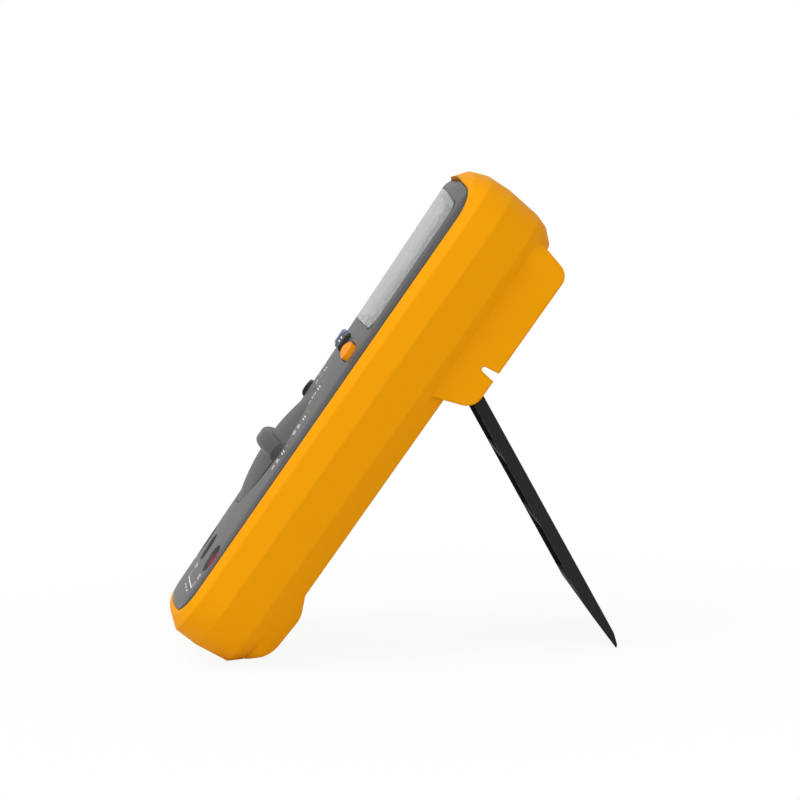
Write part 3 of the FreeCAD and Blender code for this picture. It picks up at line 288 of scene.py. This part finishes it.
@dataclass(frozen=True)
class Metal:
    """Drawn, plated or brushed metal.

    Args:
        name: The material's name.
        colour: Colour of the metal, linear.
        roughness: How dull it is.
        brush: Depth of the brushing, in metres.
    """

    name: str
    colour: Colour
    roughness: float = 0.3
    brush: float = 0.00001

    def make(self) -> bpy.types.Material:
        """Build the material.

        Returns:
            The finished material.
        """
        material = bpy.data.materials.new(self.name)
        tree = Tree(material)
        where = tree.add("TexCoord").outputs["Object"]
        stretched = tree.add("Mapping", None, Vector=where, Scale=BRUSH_STRETCH).outputs[0]
        lines = tree.value("TexNoise", "Fac", Vector=stretched, Scale=BRUSH_SCALE, Detail=3.0)
        stain = tree.value("TexNoise", "Fac", Vector=where, Scale=STAIN_SCALE, Detail=4.0)
        dull = tuple(channel * STAIN_DARK for channel in self.colour)
        tint = tree.value("Mix", "Result", {"data_type": "RGBA"}, i0=stain, i6=dull, i7=self.colour)
        bump = tree.value("Bump", "Normal", Height=lines, Distance=self.brush,
                          Strength=BRUSH_STRENGTH)
        rough = self.roughness - STAIN_SPAN / 2 + stain * STAIN_SPAN
        shader = tree.add("BsdfPrincipled", None, Base_Color=tint, Metallic=1.0, Roughness=rough,
                          Normal=bump)
        tree.add("OutputMaterial", None, Surface=shader.outputs["BSDF"])
        return material


@dataclass(frozen=True)
class Clear:
    """Clear moulded window plastic, polished, with faint wipe marks.

    Args:
        name: The material's name.
        colour: Tint, linear.
        roughness: How hazy it is.
        depth: How much light passes, from 0 to 1.
    """

    name: str
    colour: Colour
    roughness: float = 0.04
    depth: float = 1.0

    def make(self) -> bpy.types.Material:
        """Build the material.

        Returns:
            The finished material.
        """
        material = bpy.data.materials.new(self.name)
        tree = Tree(material)
        where = tree.add("TexCoord").outputs["Object"]
        wipes = tree.value("TexNoise", "Fac", Vector=where, Scale=WIPE_SCALE, Detail=5.0)
        rough = self.roughness + wipes * WIPE_SPAN
        shader = tree.add("BsdfPrincipled", None, Base_Color=self.colour, Roughness=rough,
                          IOR=WINDOW_IOR, Transmission_Weight=self.depth)
        tree.add("OutputMaterial", None, Surface=shader.outputs["BSDF"])
        return material


class Shade(Enum):
    """Every finish on the meter."""

    YELLOW = Moulded("holster_yellow", (0.82, 0.325, 0.0), 0.55, 0.00003, 0.00045, 0.02, 0.0012, gloss=0.05)
    STAND = Moulded("stand_black", (0.010, 0.011, 0.0105), 0.6, 0.00002, 0.0004, 0.10, 0.0004, gloss=0.22)
    # The face's colour darkens past 31 mm from the middle line: painted shade at its sides.
    FACE = Moulded("case_grey", (0.102, 0.102, 0.104), 0.44, 0.00003, 0.0004, 0.05, 0.0004, rim=0.031)
    REAR = Moulded("case_dark", (0.045, 0.045, 0.047), 0.5)
    FASTENER = Moulded("fastener_black", (0.02, 0.02, 0.02), 0.45, edge=0.0002)
    SEAL = Moulded("seal_rubber", (0.02, 0.02, 0.02), 0.75)
    LENS = Clear("lens_clear", (0.93, 0.96, 0.97))
    GLASS = Moulded("lcd_grey", (0.52, 0.55, 0.51), 0.22, 0.0, 0.001, 0.02, 0.0002, coat=0.4)
    SEGMENT = Moulded("lcd_segment", (0.24, 0.26, 0.235), 0.3, 0.0, 0.001, 0.02, 0.0)
    FRAME = Moulded("frame_white", (0.62, 0.62, 0.60), 0.5)
    GUIDE = Moulded("guide_clear", (0.80, 0.83, 0.80), 0.2, coat=0.5)
    ZEBRA = Moulded("zebra_rubber", (0.12, 0.12, 0.12), 0.7)
    BOARD = Moulded("board_green", (0.015, 0.14, 0.05), 0.35, 0.00004, 0.0009, 0.25)
    KEYPAD = Moulded("keypad_rubber", (0.20, 0.20, 0.21), 0.7)
    KEY_ORANGE = Moulded("key_orange", (0.86, 0.29, 0.0), 0.5, 0.00001, 0.0003, 0.03, 0.0005, gloss=0.12)
    KEY_DARK = Moulded("key_dark", (0.022, 0.022, 0.021), 0.45, 0.00001, 0.0003, 0.05, 0.0005, gloss=0.3)
    KEY_BLUE = Moulded("key_blue", (0.17, 0.19, 0.42), 0.45, 0.00001, 0.0003, 0.04, 0.0005, gloss=0.25)
    DIAL = Moulded("dial_grey", (0.05, 0.05, 0.051), 0.38, 0.00002, 0.0004, 0.05, 0.0005)
    ROTOR = Moulded("rotor_white", (0.72, 0.72, 0.69), 0.5)
    BLOCK = Moulded("block_black", (0.02, 0.02, 0.021), 0.5, edge=0.0003)
    FUSE = Moulded("fuse_body", (0.76, 0.74, 0.68), 0.3, coat=0.4)
    BATTERY = Moulded("battery_can", (0.07, 0.08, 0.11), 0.3, coat=0.6)
    BUZZER = Moulded("buzzer_black", (0.02, 0.02, 0.02), 0.6)
    COLLAR = Moulded("collar_black", (0.02, 0.02, 0.02), 0.5, edge=0.0002)
    COLLAR_RED = Moulded("collar_red", (0.56, 0.02, 0.045), 0.42, edge=0.0002)
    GOLD = Metal("contact_gold", (0.82, 0.60, 0.24), 0.25)
    STEEL = Metal("spring_steel", (0.60, 0.60, 0.60), 0.35)
    SCREW = Metal("screw_steel", (0.55, 0.55, 0.56), 0.35)
    TIN = Metal("shield_tin", (0.72, 0.72, 0.71), 0.4)
    BRASS = Metal("sleeve_brass", (0.74, 0.66, 0.46), 0.3)
    PRINT_WHITE = Moulded("print_white", (0.80, 0.81, 0.80), 0.6, 0.0, 0.001, 0.02, 0.0)
    PRINT_ORANGE = Moulded("print_orange", (0.78, 0.34, 0.05), 0.6, 0.0, 0.001, 0.02, 0.0)
    # Black ink used only for the painted shadow line round the lens.
    SHADOW_BLACK = Moulded("painted_shadow_ink", (0.012, 0.013, 0.015), 0.5, 0.0, 0.001, 0.02, 0.0)


class Wardrobe:
    """Makes each finish once and puts it on pieces."""

    def __init__(self) -> None:
        """Start with nothing made."""
        self.made: dict[Shade, bpy.types.Material] = {}

    def dress(self, piece: bpy.types.Object, shade: Shade) -> None:
        """Give a piece one finish all over.

        Args:
            piece: The object to dress.
            shade: The finish it gets.
        """
        if shade not in self.made:
            self.made[shade] = shade.value.make()
        piece.data.materials.clear()
        piece.data.materials.append(self.made[shade])


# The meter's own axes --------------------------------------------------------------


@dataclass
class Meter:
    """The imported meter, with its own axes: across, along its length and out of its face.
    """

    frame: dict[str, Any]
    origin: Vector = field(init=False)
    along: Vector = field(init=False)
    out: Vector = field(init=False)

    def __post_init__(self) -> None:
        """Find the axes from the dial's joint and the holster's back and lower end."""
        dial = next(joint for joint in self.frame["joints"] if joint["name"] == "dial_turn")
        self.out = Vector(dial["axis"]).normalized()
        self.along = self.out.cross(Vector((1.0, 0.0, 0.0)))
        self.origin = Vector((0.0, 0.0, 0.0))
        low, _ = self.box("holster")
        self.origin = self.along * low.y + self.out * low.z

    def local(self, point: Vector) -> Vector:
        """A point in the meter's own axes."""
        offset = point - self.origin
        return Vector((offset.x, offset.dot(self.along), offset.dot(self.out)))

    def matrix(self) -> Matrix:
        """Work out the matrix that takes the meter's own axes to the frame.

        Returns:
            The matrix.
        """
        across = Vector((1.0, 0.0, 0.0))
        turn = Matrix((across, self.along, self.out)).transposed()
        return Matrix.Translation(self.origin) @ turn.to_4x4()

    def box(self, node: str) -> tuple[Vector, Vector]:
        """A node's lowest and highest corners in the meter's own axes.

        Args:
            node: The node's name.

        Returns:
            The two corners.
        """
        points = [self.local(vertex.co) for vertex in self.frame["nodes"][node].data.vertices]
        low = Vector(min(point[axis] for point in points) for axis in range(3))
        high = Vector(max(point[axis] for point in points) for axis in range(3))
        return low, high

    def middle(self, node: str) -> Vector:
        """The middle of a node's box in the meter's own axes."""
        low, high = self.box(node)
        return (low + high) / 2

    def surface(self, node: str) -> BVHTree:
        """Take a node's skin for finding heights on it.

        Args:
            node: The node's name.

        Returns:
            The skin, in the meter's own axes.
        """
        mesh = self.frame["nodes"][node].data
        points = [self.local(vertex.co) for vertex in mesh.vertices]
        return BVHTree.FromPolygons(points, [tuple(face.vertices) for face in mesh.polygons])


def link(name: str, data: bpy.types.ID) -> bpy.types.Object:
    """Put a mesh, a light, a camera or lettering in the scene as a new object at the origin.

    Args:
        name: The object's name.
        data: What it shows.

    Returns:
        The new object.
    """
    piece = bpy.data.objects.new(name, data)
    bpy.context.scene.collection.objects.link(piece)
    return piece


def finish_mesh(name: str, shape: bmesh.types.BMesh, matrix: Matrix) -> bpy.types.Object:
    """Turn a bmesh into an object placed in its mesh.

    Args:
        name: The piece's name.
        shape: The bmesh, in the meter's own axes; it is freed.
        matrix: The matrix that takes those axes to the frame.

    Returns:
        The new object.
    """
    bmesh.ops.recalc_face_normals(shape, faces=shape.faces)
    bmesh.ops.transform(shape, matrix=matrix, verts=shape.verts)
    mesh = bpy.data.meshes.new(name)
    shape.to_mesh(mesh)
    shape.free()
    return link(name, mesh)


# Prints ------------------------------------------------------------------------------


@dataclass
class Printing:
    """Flat prints that lie on a curved face.

    Args:
        meter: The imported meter.
        wardrobe: The finishes.
        thick: Thickness of the ink, in metres.
        lift: How far the ink's underside stands off the face, in metres.
    """

    meter: Meter
    wardrobe: Wardrobe
    thick: float = 0.00003
    lift: float = 0.00001

    def bar(self, shape: bmesh.types.BMesh, x: float, y: float, wide: float, long: float,
            turn: float = 0.0) -> None:
        """Add a flat bar to a print.

        Args:
            shape: The print so far.
            x: Middle across the meter.
            y: Middle along the meter.
            wide: Size across the bar.
            long: Size along the bar.
            turn: Angle of its length from the meter's cross axis, in radians.
        """
        made = bmesh.ops.create_grid(shape, x_segments=BAR_STEPS, y_segments=1, size=0.5)
        place = (Matrix.Translation((x, y, 0.0)) @ Matrix.Rotation(turn, 4, "Z")
                 @ Matrix.Diagonal((long, wide, 1.0, 1.0)))
        bmesh.ops.transform(shape, matrix=place, verts=made["verts"])

    def words(self, shape: bmesh.types.BMesh, text: str, x: float, y: float, high: float,
              turn: float = 0.0) -> None:
        """Add lettering to a print.

        Args:
            shape: The print so far.
            text: Plain figures or a unit.
            x: Middle across the meter.
            y: Middle along the meter.
            high: Height of the letters.
            turn: Turn of the letters, in radians.
        """
        curve = bpy.data.curves.new("lettering", "FONT")
        curve.body = text
        curve.size = high
        curve.align_x = "CENTER"
        curve.align_y = "CENTER"
        curve.resolution_u = LETTER_STEPS
        holder = link("lettering", curve)
        mesh = bpy.data.meshes.new_from_object(holder)
        bpy.data.objects.remove(holder)
        mesh.transform(Matrix.Translation((x, y, 0.0)) @ Matrix.Rotation(turn, 4, "Z"))
        shape.from_mesh(mesh)

    @staticmethod
    def _height(skin: BVHTree, x: float, y: float) -> float:
        """The skin's height at a place, or that of its nearest point where it has a hole."""
        hit = skin.ray_cast(Vector((x, y, RAY_START)), Vector((0.0, 0.0, -1.0)))[0]
        return hit.z if hit else skin.find_nearest(Vector((x, y, FACE_LEVEL)))[0].z

    def lay(self, name: str, shape: bmesh.types.BMesh, skin: BVHTree, shade: Shade, body: str,
            slot: str) -> bpy.types.Object:
        """Lay a flat print on a skin, thicken it and make it ride.

        Args:
            name: The piece's name.
            shape: The flat print; it is freed.
            skin: The skin that it lies on.
            shade: Its ink.
            body: The body that it rides on.
            slot: The name of one of the record's material slots; not used.

        Returns:
            The new piece.
        """
        bmesh.ops.remove_doubles(shape, verts=shape.verts, dist=WELD)
        bmesh.ops.triangulate(shape, faces=shape.faces)
        bottom = list(shape.verts)
        made = bmesh.ops.extrude_face_region(shape, geom=shape.faces[:])
        tops = [item for item in made["geom"] if isinstance(item, bmesh.types.BMVert)]
        for group, level in ((bottom, self.lift), (tops, self.lift + self.thick)):
            for vertex in group:
                vertex.co.z = self._height(skin, vertex.co.x, vertex.co.y) + level
        piece = finish_mesh(name, shape, self.meter.matrix())
        self.wardrobe.dress(piece, shade)
        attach(piece, body)
        LOG.info("laid %s", name)
        return piece


# Sub-assemblies ----------------------------------------------------------------------


@dataclass
class Shell:
    """Every node that keeps its own shape, with the finish it shows.

    Args:
        meter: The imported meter.
        wardrobe: The finishes.
        finishes: The finish of each node, by the node's name.
    """

    meter: Meter
    wardrobe: Wardrobe
    finishes: dict[str, Shade] = field(default_factory=lambda: {
        "holster": Shade.YELLOW,
        "tilt_stand": Shade.STAND,
        "front_case": Shade.FACE,
        "rear_case": Shade.REAR,
        "battery_door": Shade.REAR,
        "door_fastener": Shade.FASTENER,
        "case_seal": Shade.SEAL,
        "display_lens": Shade.LENS,
        "lcd_glass": Shade.GLASS,
        "lcd_frame": Shade.FRAME,
        "light_guide": Shade.GUIDE,
        "zebra_strips": Shade.ZEBRA,
        "main_board": Shade.BOARD,
        "keypad": Shade.KEYPAD,
        "key_shift": Shade.KEY_ORANGE,
        "key_hold": Shade.KEY_DARK,
        "key_range": Shade.KEY_BLUE,
        "key_peak": Shade.KEY_DARK,
        "key_lamp": Shade.KEY_DARK,
        "dial_knob": Shade.DIAL,
        "knob_rotor": Shade.ROTOR,
        "rotor_contacts": Shade.GOLD,
        "detent_spring": Shade.STEEL,
        "jack_block": Shade.BLOCK,
        "fuse_1": Shade.FUSE,
        "fuse_2": Shade.FUSE,
        "fuse_clips": Shade.STEEL,
        "battery": Shade.BATTERY,
        "battery_contacts": Shade.GOLD,
        "case_screws": Shade.SCREW,
        "shield": Shade.TIN,
        "buzzer": Shade.BUZZER,
        **{f"jack_sleeve_{number}": Shade.BRASS for number in range(1, 5)},
        **{f"jack_collar_{number}": Shade.COLLAR for number in range(1, 4)},
        "jack_collar_4": Shade.COLLAR_RED,
    })

    def build(self) -> None:
        """Dress every node."""
        for name, node in self.meter.frame["nodes"].items():
            self.wardrobe.dress(node, self.finishes[name])
        LOG.info("dressed %d nodes", len(self.finishes))


@dataclass
class Face:
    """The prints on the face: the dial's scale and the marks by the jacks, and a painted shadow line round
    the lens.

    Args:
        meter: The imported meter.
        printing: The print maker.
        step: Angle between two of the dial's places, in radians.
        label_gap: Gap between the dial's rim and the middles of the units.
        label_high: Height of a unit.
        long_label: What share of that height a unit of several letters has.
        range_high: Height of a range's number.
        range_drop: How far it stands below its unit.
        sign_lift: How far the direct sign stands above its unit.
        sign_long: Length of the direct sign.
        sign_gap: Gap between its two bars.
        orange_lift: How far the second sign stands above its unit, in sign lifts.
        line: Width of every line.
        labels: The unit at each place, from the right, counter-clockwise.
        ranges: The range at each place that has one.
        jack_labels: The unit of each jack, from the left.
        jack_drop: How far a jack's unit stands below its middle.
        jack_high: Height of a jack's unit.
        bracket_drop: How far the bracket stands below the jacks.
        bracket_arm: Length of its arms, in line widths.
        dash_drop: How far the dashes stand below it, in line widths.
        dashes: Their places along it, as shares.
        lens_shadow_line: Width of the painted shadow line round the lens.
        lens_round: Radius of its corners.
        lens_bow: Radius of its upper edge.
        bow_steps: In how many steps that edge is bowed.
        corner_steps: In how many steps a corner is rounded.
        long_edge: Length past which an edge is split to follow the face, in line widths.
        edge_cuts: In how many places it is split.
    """

    meter: Meter
    printing: Printing
    step: float = math.radians(180 / 7)
    label_gap: float = 4.6 * MM
    label_high: float = 3.2 * MM
    long_label: float = 0.85
    range_high: float = 2.5 * MM
    range_drop: float = 2.7 * MM
    sign_lift: float = 3.3 * MM
    sign_long: float = 2.6 * MM
    sign_gap: float = 1.0 * MM
    orange_lift: float = 1.8
    line: float = 0.45 * MM
    labels: tuple[str, ...] = ("mA", "mA", "Ω", "mV", "V", "", "Hz", "OFF")
    ranges: tuple[str, ...] = ("10", "400", "40", "600", "60")
    jack_labels: tuple[str, ...] = ("A", "mA", "COM", "VΩ")
    jack_drop: float = 7.6 * MM
    jack_high: float = 2.6 * MM
    bracket_drop: float = 12.0 * MM
    bracket_arm: float = 6.0
    dash_drop: float = 5.0
    dashes: tuple[float, ...] = (0.25, 0.5, 0.75)
    lens_shadow_line: float = 0.7 * MM
    lens_round: float = 3.4 * MM
    lens_bow: float = 160.0 * MM
    bow_steps: int = 24
    corner_steps: int = 5
    long_edge: float = 6.0
    edge_cuts: int = 24

    def build(self) -> None:
        """Lay every print."""
        skin = self.meter.surface("front_case")
        self._dial_scale(skin)
        self._jack_marks(skin)
        self._lens_shadow_line(skin)

    def _dial_scale(self, skin: BVHTree) -> None:
        """Lay a unit, a range, a direct sign and an orange second sign at the switch's places.

        Args:
            skin: The face's skin.
        """
        low, high = self.meter.box("dial_knob")
        middle = (low + high) / 2
        reach = (high.x - low.x) / 2 + self.label_gap
        white, orange = bmesh.new(), bmesh.new()
        for number, text in enumerate(self.labels):
            angle = number * self.step
            x = middle.x + reach * math.cos(angle)
            y = middle.y + (reach + self.range_drop) * math.sin(angle) - self.sign_lift / 2
            if not text:
                continue
            small = self.long_label if len(text) > 1 else 1.0
            self.printing.words(white, text, x, y, self.label_high * small)
            if number >= len(self.ranges):
                continue
            self.printing.words(white, self.ranges[number], x, y - self.range_drop, self.range_high)
            for side in (-1, 1):
                self.printing.bar(white, x, y + self.sign_lift + side * self.sign_gap / 2, self.line,
                                  self.sign_long)
            self.printing.words(orange, "~", x, y + self.orange_lift * self.sign_lift, self.label_high)
        self.printing.lay("dial_scale", white, skin, Shade.PRINT_WHITE, "case", "frame_white")
        self.printing.lay("dial_scale_orange", orange, skin, Shade.PRINT_ORANGE, "case", "key_orange")

    def _jack_marks(self, skin: BVHTree) -> None:
        """Lay a unit below each jack, and a bracket with dashes below the last two.

        Args:
            skin: The face's skin.
        """
        print_mesh = bmesh.new()
        places = [self.meter.middle(f"jack_collar_{number}") for number in range(1, 5)]
        for place, text in zip(places, self.jack_labels):
            self.printing.words(print_mesh, text, place.x, place.y - self.jack_drop, self.jack_high)
        left, right = places[2], places[3]
        level = left.y - self.bracket_drop
        self.printing.bar(print_mesh, (left.x + right.x) / 2, level, self.line, right.x - left.x)
        for end in (left, right):
            self.printing.bar(print_mesh, end.x, level + self.line * self.bracket_arm / 2,
                              self.line * self.bracket_arm, self.line)
        for share in self.dashes:
            x = left.x + (right.x - left.x) * share
            self.printing.bar(print_mesh, x, level - self.line * self.dash_drop, self.line,
                              self.sign_long)
        self.printing.lay("jack_marks", print_mesh, skin, Shade.PRINT_WHITE, "case", "frame_white")

    def _lens_shadow_line(self, skin: BVHTree) -> None:
        """Lay a dark line on the face round the lens, whose upper edge is bowed: a painted shadow of the
        gap between lens and face.

        Args:
            skin: The face's skin.
        """
        low, high = self.meter.box("display_lens")
        grow = self.lens_shadow_line
        half, bottom, top = high.x + grow, low.y - grow, high.y + grow
        places = [(-half, bottom), (half, bottom)]
        for number in range(self.bow_steps + 1):
            x = half - 2 * half * number / self.bow_steps
            places.append((x, top - self.lens_bow + math.sqrt(self.lens_bow**2 - x**2)))
        shape = bmesh.new()
        corners = [shape.verts.new((x, y, 0.0)) for x, y in places]
        shape.faces.new(corners)
        bmesh.ops.bevel(shape, geom=[corners[number] for number in (0, 1, 2, -1)],
                        offset=self.lens_round, affect="VERTICES", segments=self.corner_steps,
                        profile=0.5, material=-1)
        ring = bmesh.ops.inset_region(shape, faces=shape.faces[:], thickness=grow, use_boundary=True,
                                      use_even_offset=True)
        inner = [face for face in shape.faces if face not in ring["faces"]]
        bmesh.ops.delete(shape, geom=inner, context="FACES")
        long_edges = [edge for edge in shape.edges if edge.calc_length() > self.long_edge * grow]
        bmesh.ops.subdivide_edges(shape, edges=long_edges, cuts=self.edge_cuts)
        # A dark strip laid as a print where the gap round the lens falls into shade: painted shadow.
        self.printing.lay("lens_shadow_line", shape, skin, Shade.SHADOW_BLACK, "case", "block_black")


@dataclass
class Display:
    """The reading on the display's glass.

    Args:
        meter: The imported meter.
        printing: The print maker.
        digits: The reading: noughts and one point.
        digit_wide: Width of a figure.
        digit_high: Height of a figure.
        digit_pitch: Distance from one figure to the next.
        stroke: Width of a figure's strokes.
        across_trim: How much shorter its level strokes are than the figure is wide, in strokes.
        upright_trim: How much shorter its upright strokes are than half its height, in strokes.
        scale_marks: How many marks the bar scale has.
        scale_pitch: Distance from one mark to the next.
        mark_share: A mark's width as a share of that distance.
        scale_long: Length of a mark.
        scale_lift: How far the marks stand above the glass's lower edge, in their lengths.
        tall_every: After how many marks a tall one comes.
        tall_share: A tall mark's length, in lengths of the others.
    """

    meter: Meter
    printing: Printing
    digits: str = "0.000"
    digit_wide: float = 8.6 * MM
    digit_high: float = 15.0 * MM
    digit_pitch: float = 12.2 * MM
    stroke: float = 1.7 * MM
    across_trim: float = 2.2
    upright_trim: float = 1.2
    scale_marks: int = 41
    scale_pitch: float = 1.2 * MM
    mark_share: float = 0.45
    scale_long: float = 1.6 * MM
    scale_lift: float = 2.2
    tall_every: int = 10
    tall_share: float = 1.6

    def build(self) -> None:
        """Lay the figures, their point and the bar scale on the glass."""
        skin = self.meter.surface("lcd_glass")
        middle = self.meter.middle("lcd_glass")
        shape = bmesh.new()
        figures = self.digits.replace(".", "")
        start = middle.x - self.digit_pitch * (len(figures) - 1) / 2
        for number in range(len(figures)):
            self._nought(shape, start + number * self.digit_pitch, middle.y + self.stroke)
        point = start + self.digit_pitch * (self.digits.index(".") - 0.5)
        self.printing.bar(shape, point, middle.y + self.stroke - self.digit_high / 2, self.stroke,
                          self.stroke)
        level = self.meter.box("lcd_glass")[0].y + self.scale_lift * self.scale_long
        mark_wide = self.scale_pitch * self.mark_share
        for mark in range(self.scale_marks):
            tall = self.scale_long * (self.tall_share if mark % self.tall_every == 0 else 1.0)
            x = middle.x + (mark - (self.scale_marks - 1) / 2) * self.scale_pitch
            self.printing.bar(shape, x, level + tall / 2, tall, mark_wide)
        self.printing.lay("display_figures", shape, skin, Shade.SEGMENT, "case", "lcd_grey")

    def _nought(self, shape: bmesh.types.BMesh, x: float, y: float) -> None:
        """Add the six strokes of a nought.

        Args:
            shape: The print so far.
            x: Middle across the meter.
            y: Middle along the meter.
        """
        half_wide = (self.digit_wide - self.stroke) / 2
        half_high = (self.digit_high - self.stroke) / 2
        across = self.digit_wide - self.across_trim * self.stroke
        upright = self.digit_high / 2 - self.upright_trim * self.stroke
        for side in (-1, 1):
            self.printing.bar(shape, x, y + side * half_high, self.stroke, across)
            for end in (-1, 1):
                self.printing.bar(shape, x + side * half_wide, y + end * half_high / 2, upright,
                                  self.stroke)


@dataclass
class KeyMarks:
    """The small white marks on the keys' tops.

    Args:
        meter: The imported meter.
        printing: The print maker.
        wide: The measure that the bars' width and distance are stated in.
        long: Length of a bar.
        bar_share: Width of a bar, in that measure.
        row_pitch: Distance from one bar to the next, in that measure.
        rows: How many bars each key has.
    """

    meter: Meter
    printing: Printing
    wide: float = 0.35 * MM
    long: float = 4.2 * MM
    bar_share: float = 1.6
    row_pitch: float = 4.0
    rows: tuple[tuple[str, int], ...] = (("key_hold", 2), ("key_peak", 2), ("key_lamp", 1))

    def build(self) -> None:
        """Lay two short bars on the dark keys and one on the lamp's."""
        for key, rows in self.rows:
            middle = self.meter.middle(key)
            shape = bmesh.new()
            for row in range(rows):
                y = middle.y + (row - (rows - 1) / 2) * self.row_pitch * self.wide
                self.printing.bar(shape, middle.x, y, self.wide * self.bar_share, self.long)
            self.printing.lay(f"{key}_mark", shape, self.meter.surface(key), Shade.PRINT_WHITE, key,
                              "frame_white")


@dataclass(frozen=True)
class SoftBox:
    """A square soft light that faces the object.

    Args:
        name: The light's name.
        place: Where it hangs, in metres.
        size: Length of its side, in metres.
        power: Its power, in watts.
    """

    name: str
    place: tuple[float, float, float]
    size: float
    power: float

    def hang(self) -> None:
        """Put the light in the scene."""
        data = bpy.data.lights.new(self.name, "AREA")
        data.size = self.size
        data.energy = self.power
        light = link(self.name, data)
        place = Vector(self.place)
        facing = place.to_track_quat("Z", "Y").to_matrix().to_4x4()
        light.matrix_world = Matrix.Translation(place) @ facing


@dataclass
class Studio:
    """The floor, the backdrop, the lights and the camera.

    Args:
        meter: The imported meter.
        look_at: What the camera looks at, in the meter's own axes.
        azimuth: Where it stands round the object, in degrees from the front.
        elevation: How high it stands, in degrees.
        distance: How far off it stands, in metres.
        lens: Its focal length, in millimetres.
        sensor: Its sensor's width, in millimetres.
        roll: Its roll, in degrees.
        shadow_hidden: What share of the floor's shadow the camera doesn't see below the object.
        shadow_near: Distance from the origin where the shadow starts to fade, in metres.
        shadow_far: Distance where it is gone, in metres.
        sky: Strength of the sky that lights the object.
        floor_grey: The floor's own colour.
        floor_half: Half the length of its side, in metres.
        lights: A key before and above the face, and a fill beside the camera.
    """

    meter: Meter
    look_at: Vector = field(default_factory=lambda: Vector((0.0, 106.4, 17.25)) * MM)
    azimuth: float = 86.5
    elevation: float = 5.9
    distance: float = 0.90
    lens: float = 118.1
    sensor: float = 36.0
    roll: float = 1.84
    shadow_hidden: float = 0.92
    shadow_near: float = 0.06
    shadow_far: float = 0.24
    sky: float = 0.66
    floor_grey: Colour = (0.8, 0.8, 0.8)
    floor_half: float = 6.0
    lights: tuple[SoftBox, ...] = (
        SoftBox("key", (0.35, -0.95, 1.45), 0.9, 15.0),
        SoftBox("fill", (1.5, 0.1, 0.6), 1.0, 4.0),
    )

    def build(self) -> None:
        """Set the stage."""
        self._floor()
        self._world()
        for light in self.lights:
            light.hang()
        self._camera()

    def _camera(self) -> None:
        """Stand the camera to the user's right, a little above the table."""
        data = bpy.data.cameras.new("camera")
        data.lens = self.lens
        data.sensor_width = self.sensor
        data.clip_start = 0.01
        camera = link("camera", data)
        target = self.meter.matrix() @ self.look_at
        turn, tilt = math.radians(self.azimuth), math.radians(self.elevation)
        back = Vector((math.sin(turn) * math.cos(tilt), -math.cos(turn) * math.cos(tilt), math.sin(tilt)))
        facing = back.to_track_quat("Z", "Y").to_matrix().to_4x4()
        spin = Matrix.Rotation(math.radians(-self.roll), 4, "Z")
        camera.matrix_world = Matrix.Translation(target + back * self.distance) @ facing @ spin
        bpy.context.scene.camera = camera

    @staticmethod
    def _seen(tree: Tree) -> Value:
        """Tell the rays that the camera sees, straight or through the lens, from all others.

        Args:
            tree: The tree that asks.

        Returns:
            One for such rays, and nought for others.
        """
        ray = tree.add("LightPath").outputs
        return tree.value("Math", 0, {"operation": "MAXIMUM"}, i0=ray["Is Camera Ray"],
                          i1=ray["Is Transmission Ray"])

    def _white(self, name: str) -> bpy.types.Material:
        """A floor that the camera sees as white, but for a faint shadow near the object.

        Args:
            name: The material's name.

        Returns:
            The finished material.
        """
        material = bpy.data.materials.new(name)
        tree = Tree(material)
        where = tree.add("TexCoord").outputs["Object"]
        far = tree.value("VectorMath", "Value", {"operation": "LENGTH"}, i0=where)
        plainness = tree.value("MapRange", 0, {"interpolation_type": "SMOOTHSTEP"}, Value=far,
                               From_Min=self.shadow_near, From_Max=self.shadow_far,
                               To_Min=self.shadow_hidden, To_Max=1.0)
        plain = tree.add("BsdfDiffuse", None, Color=self.floor_grey)
        bright = tree.add("Emission", None, Color=WHITE, Strength=1.0)
        mixed = tree.add("MixShader", None, Fac=self._seen(tree) * plainness, i1=plain.outputs[0],
                         i2=bright.outputs[0])
        tree.add("OutputMaterial", None, Surface=mixed.outputs[0])
        return material

    def _floor(self) -> None:
        """A plain pale floor that the object stands on."""
        shape = bmesh.new()
        bmesh.ops.create_grid(shape, x_segments=1, y_segments=1, size=self.floor_half)
        floor = finish_mesh("floor", shape, Matrix.Identity(4))
        floor.data.materials.append(self._white("floor_white"))

    def _world(self) -> None:
        """An even soft sky that the camera sees as white."""
        world = bpy.data.worlds.new("studio")
        bpy.context.scene.world = world
        tree = Tree(world)
        dim = tree.add("Background", None, Color=WHITE, Strength=self.sky)
        bright = tree.add("Background", None, Color=WHITE, Strength=1.0)
        mixed = tree.add("MixShader", None, Fac=self._seen(tree), i1=dim.outputs[0], i2=bright.outputs[0])
        tree.add("OutputWorld", None, Surface=mixed.outputs[0])


def main() -> None:
    """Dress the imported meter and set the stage."""
    logging.basicConfig(level=logging.INFO)
    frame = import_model()
    bpy.context.scene.view_settings.view_transform = "Standard"
    meter = Meter(frame)
    wardrobe = Wardrobe()
    printing = Printing(meter, wardrobe)
    Studio(meter).build()
    Shell(meter, wardrobe).build()
    Face(meter, printing).build()
    Display(meter, printing).build()
    KeyMarks(meter, printing).build()


if __name__ == "__main__":
    main()
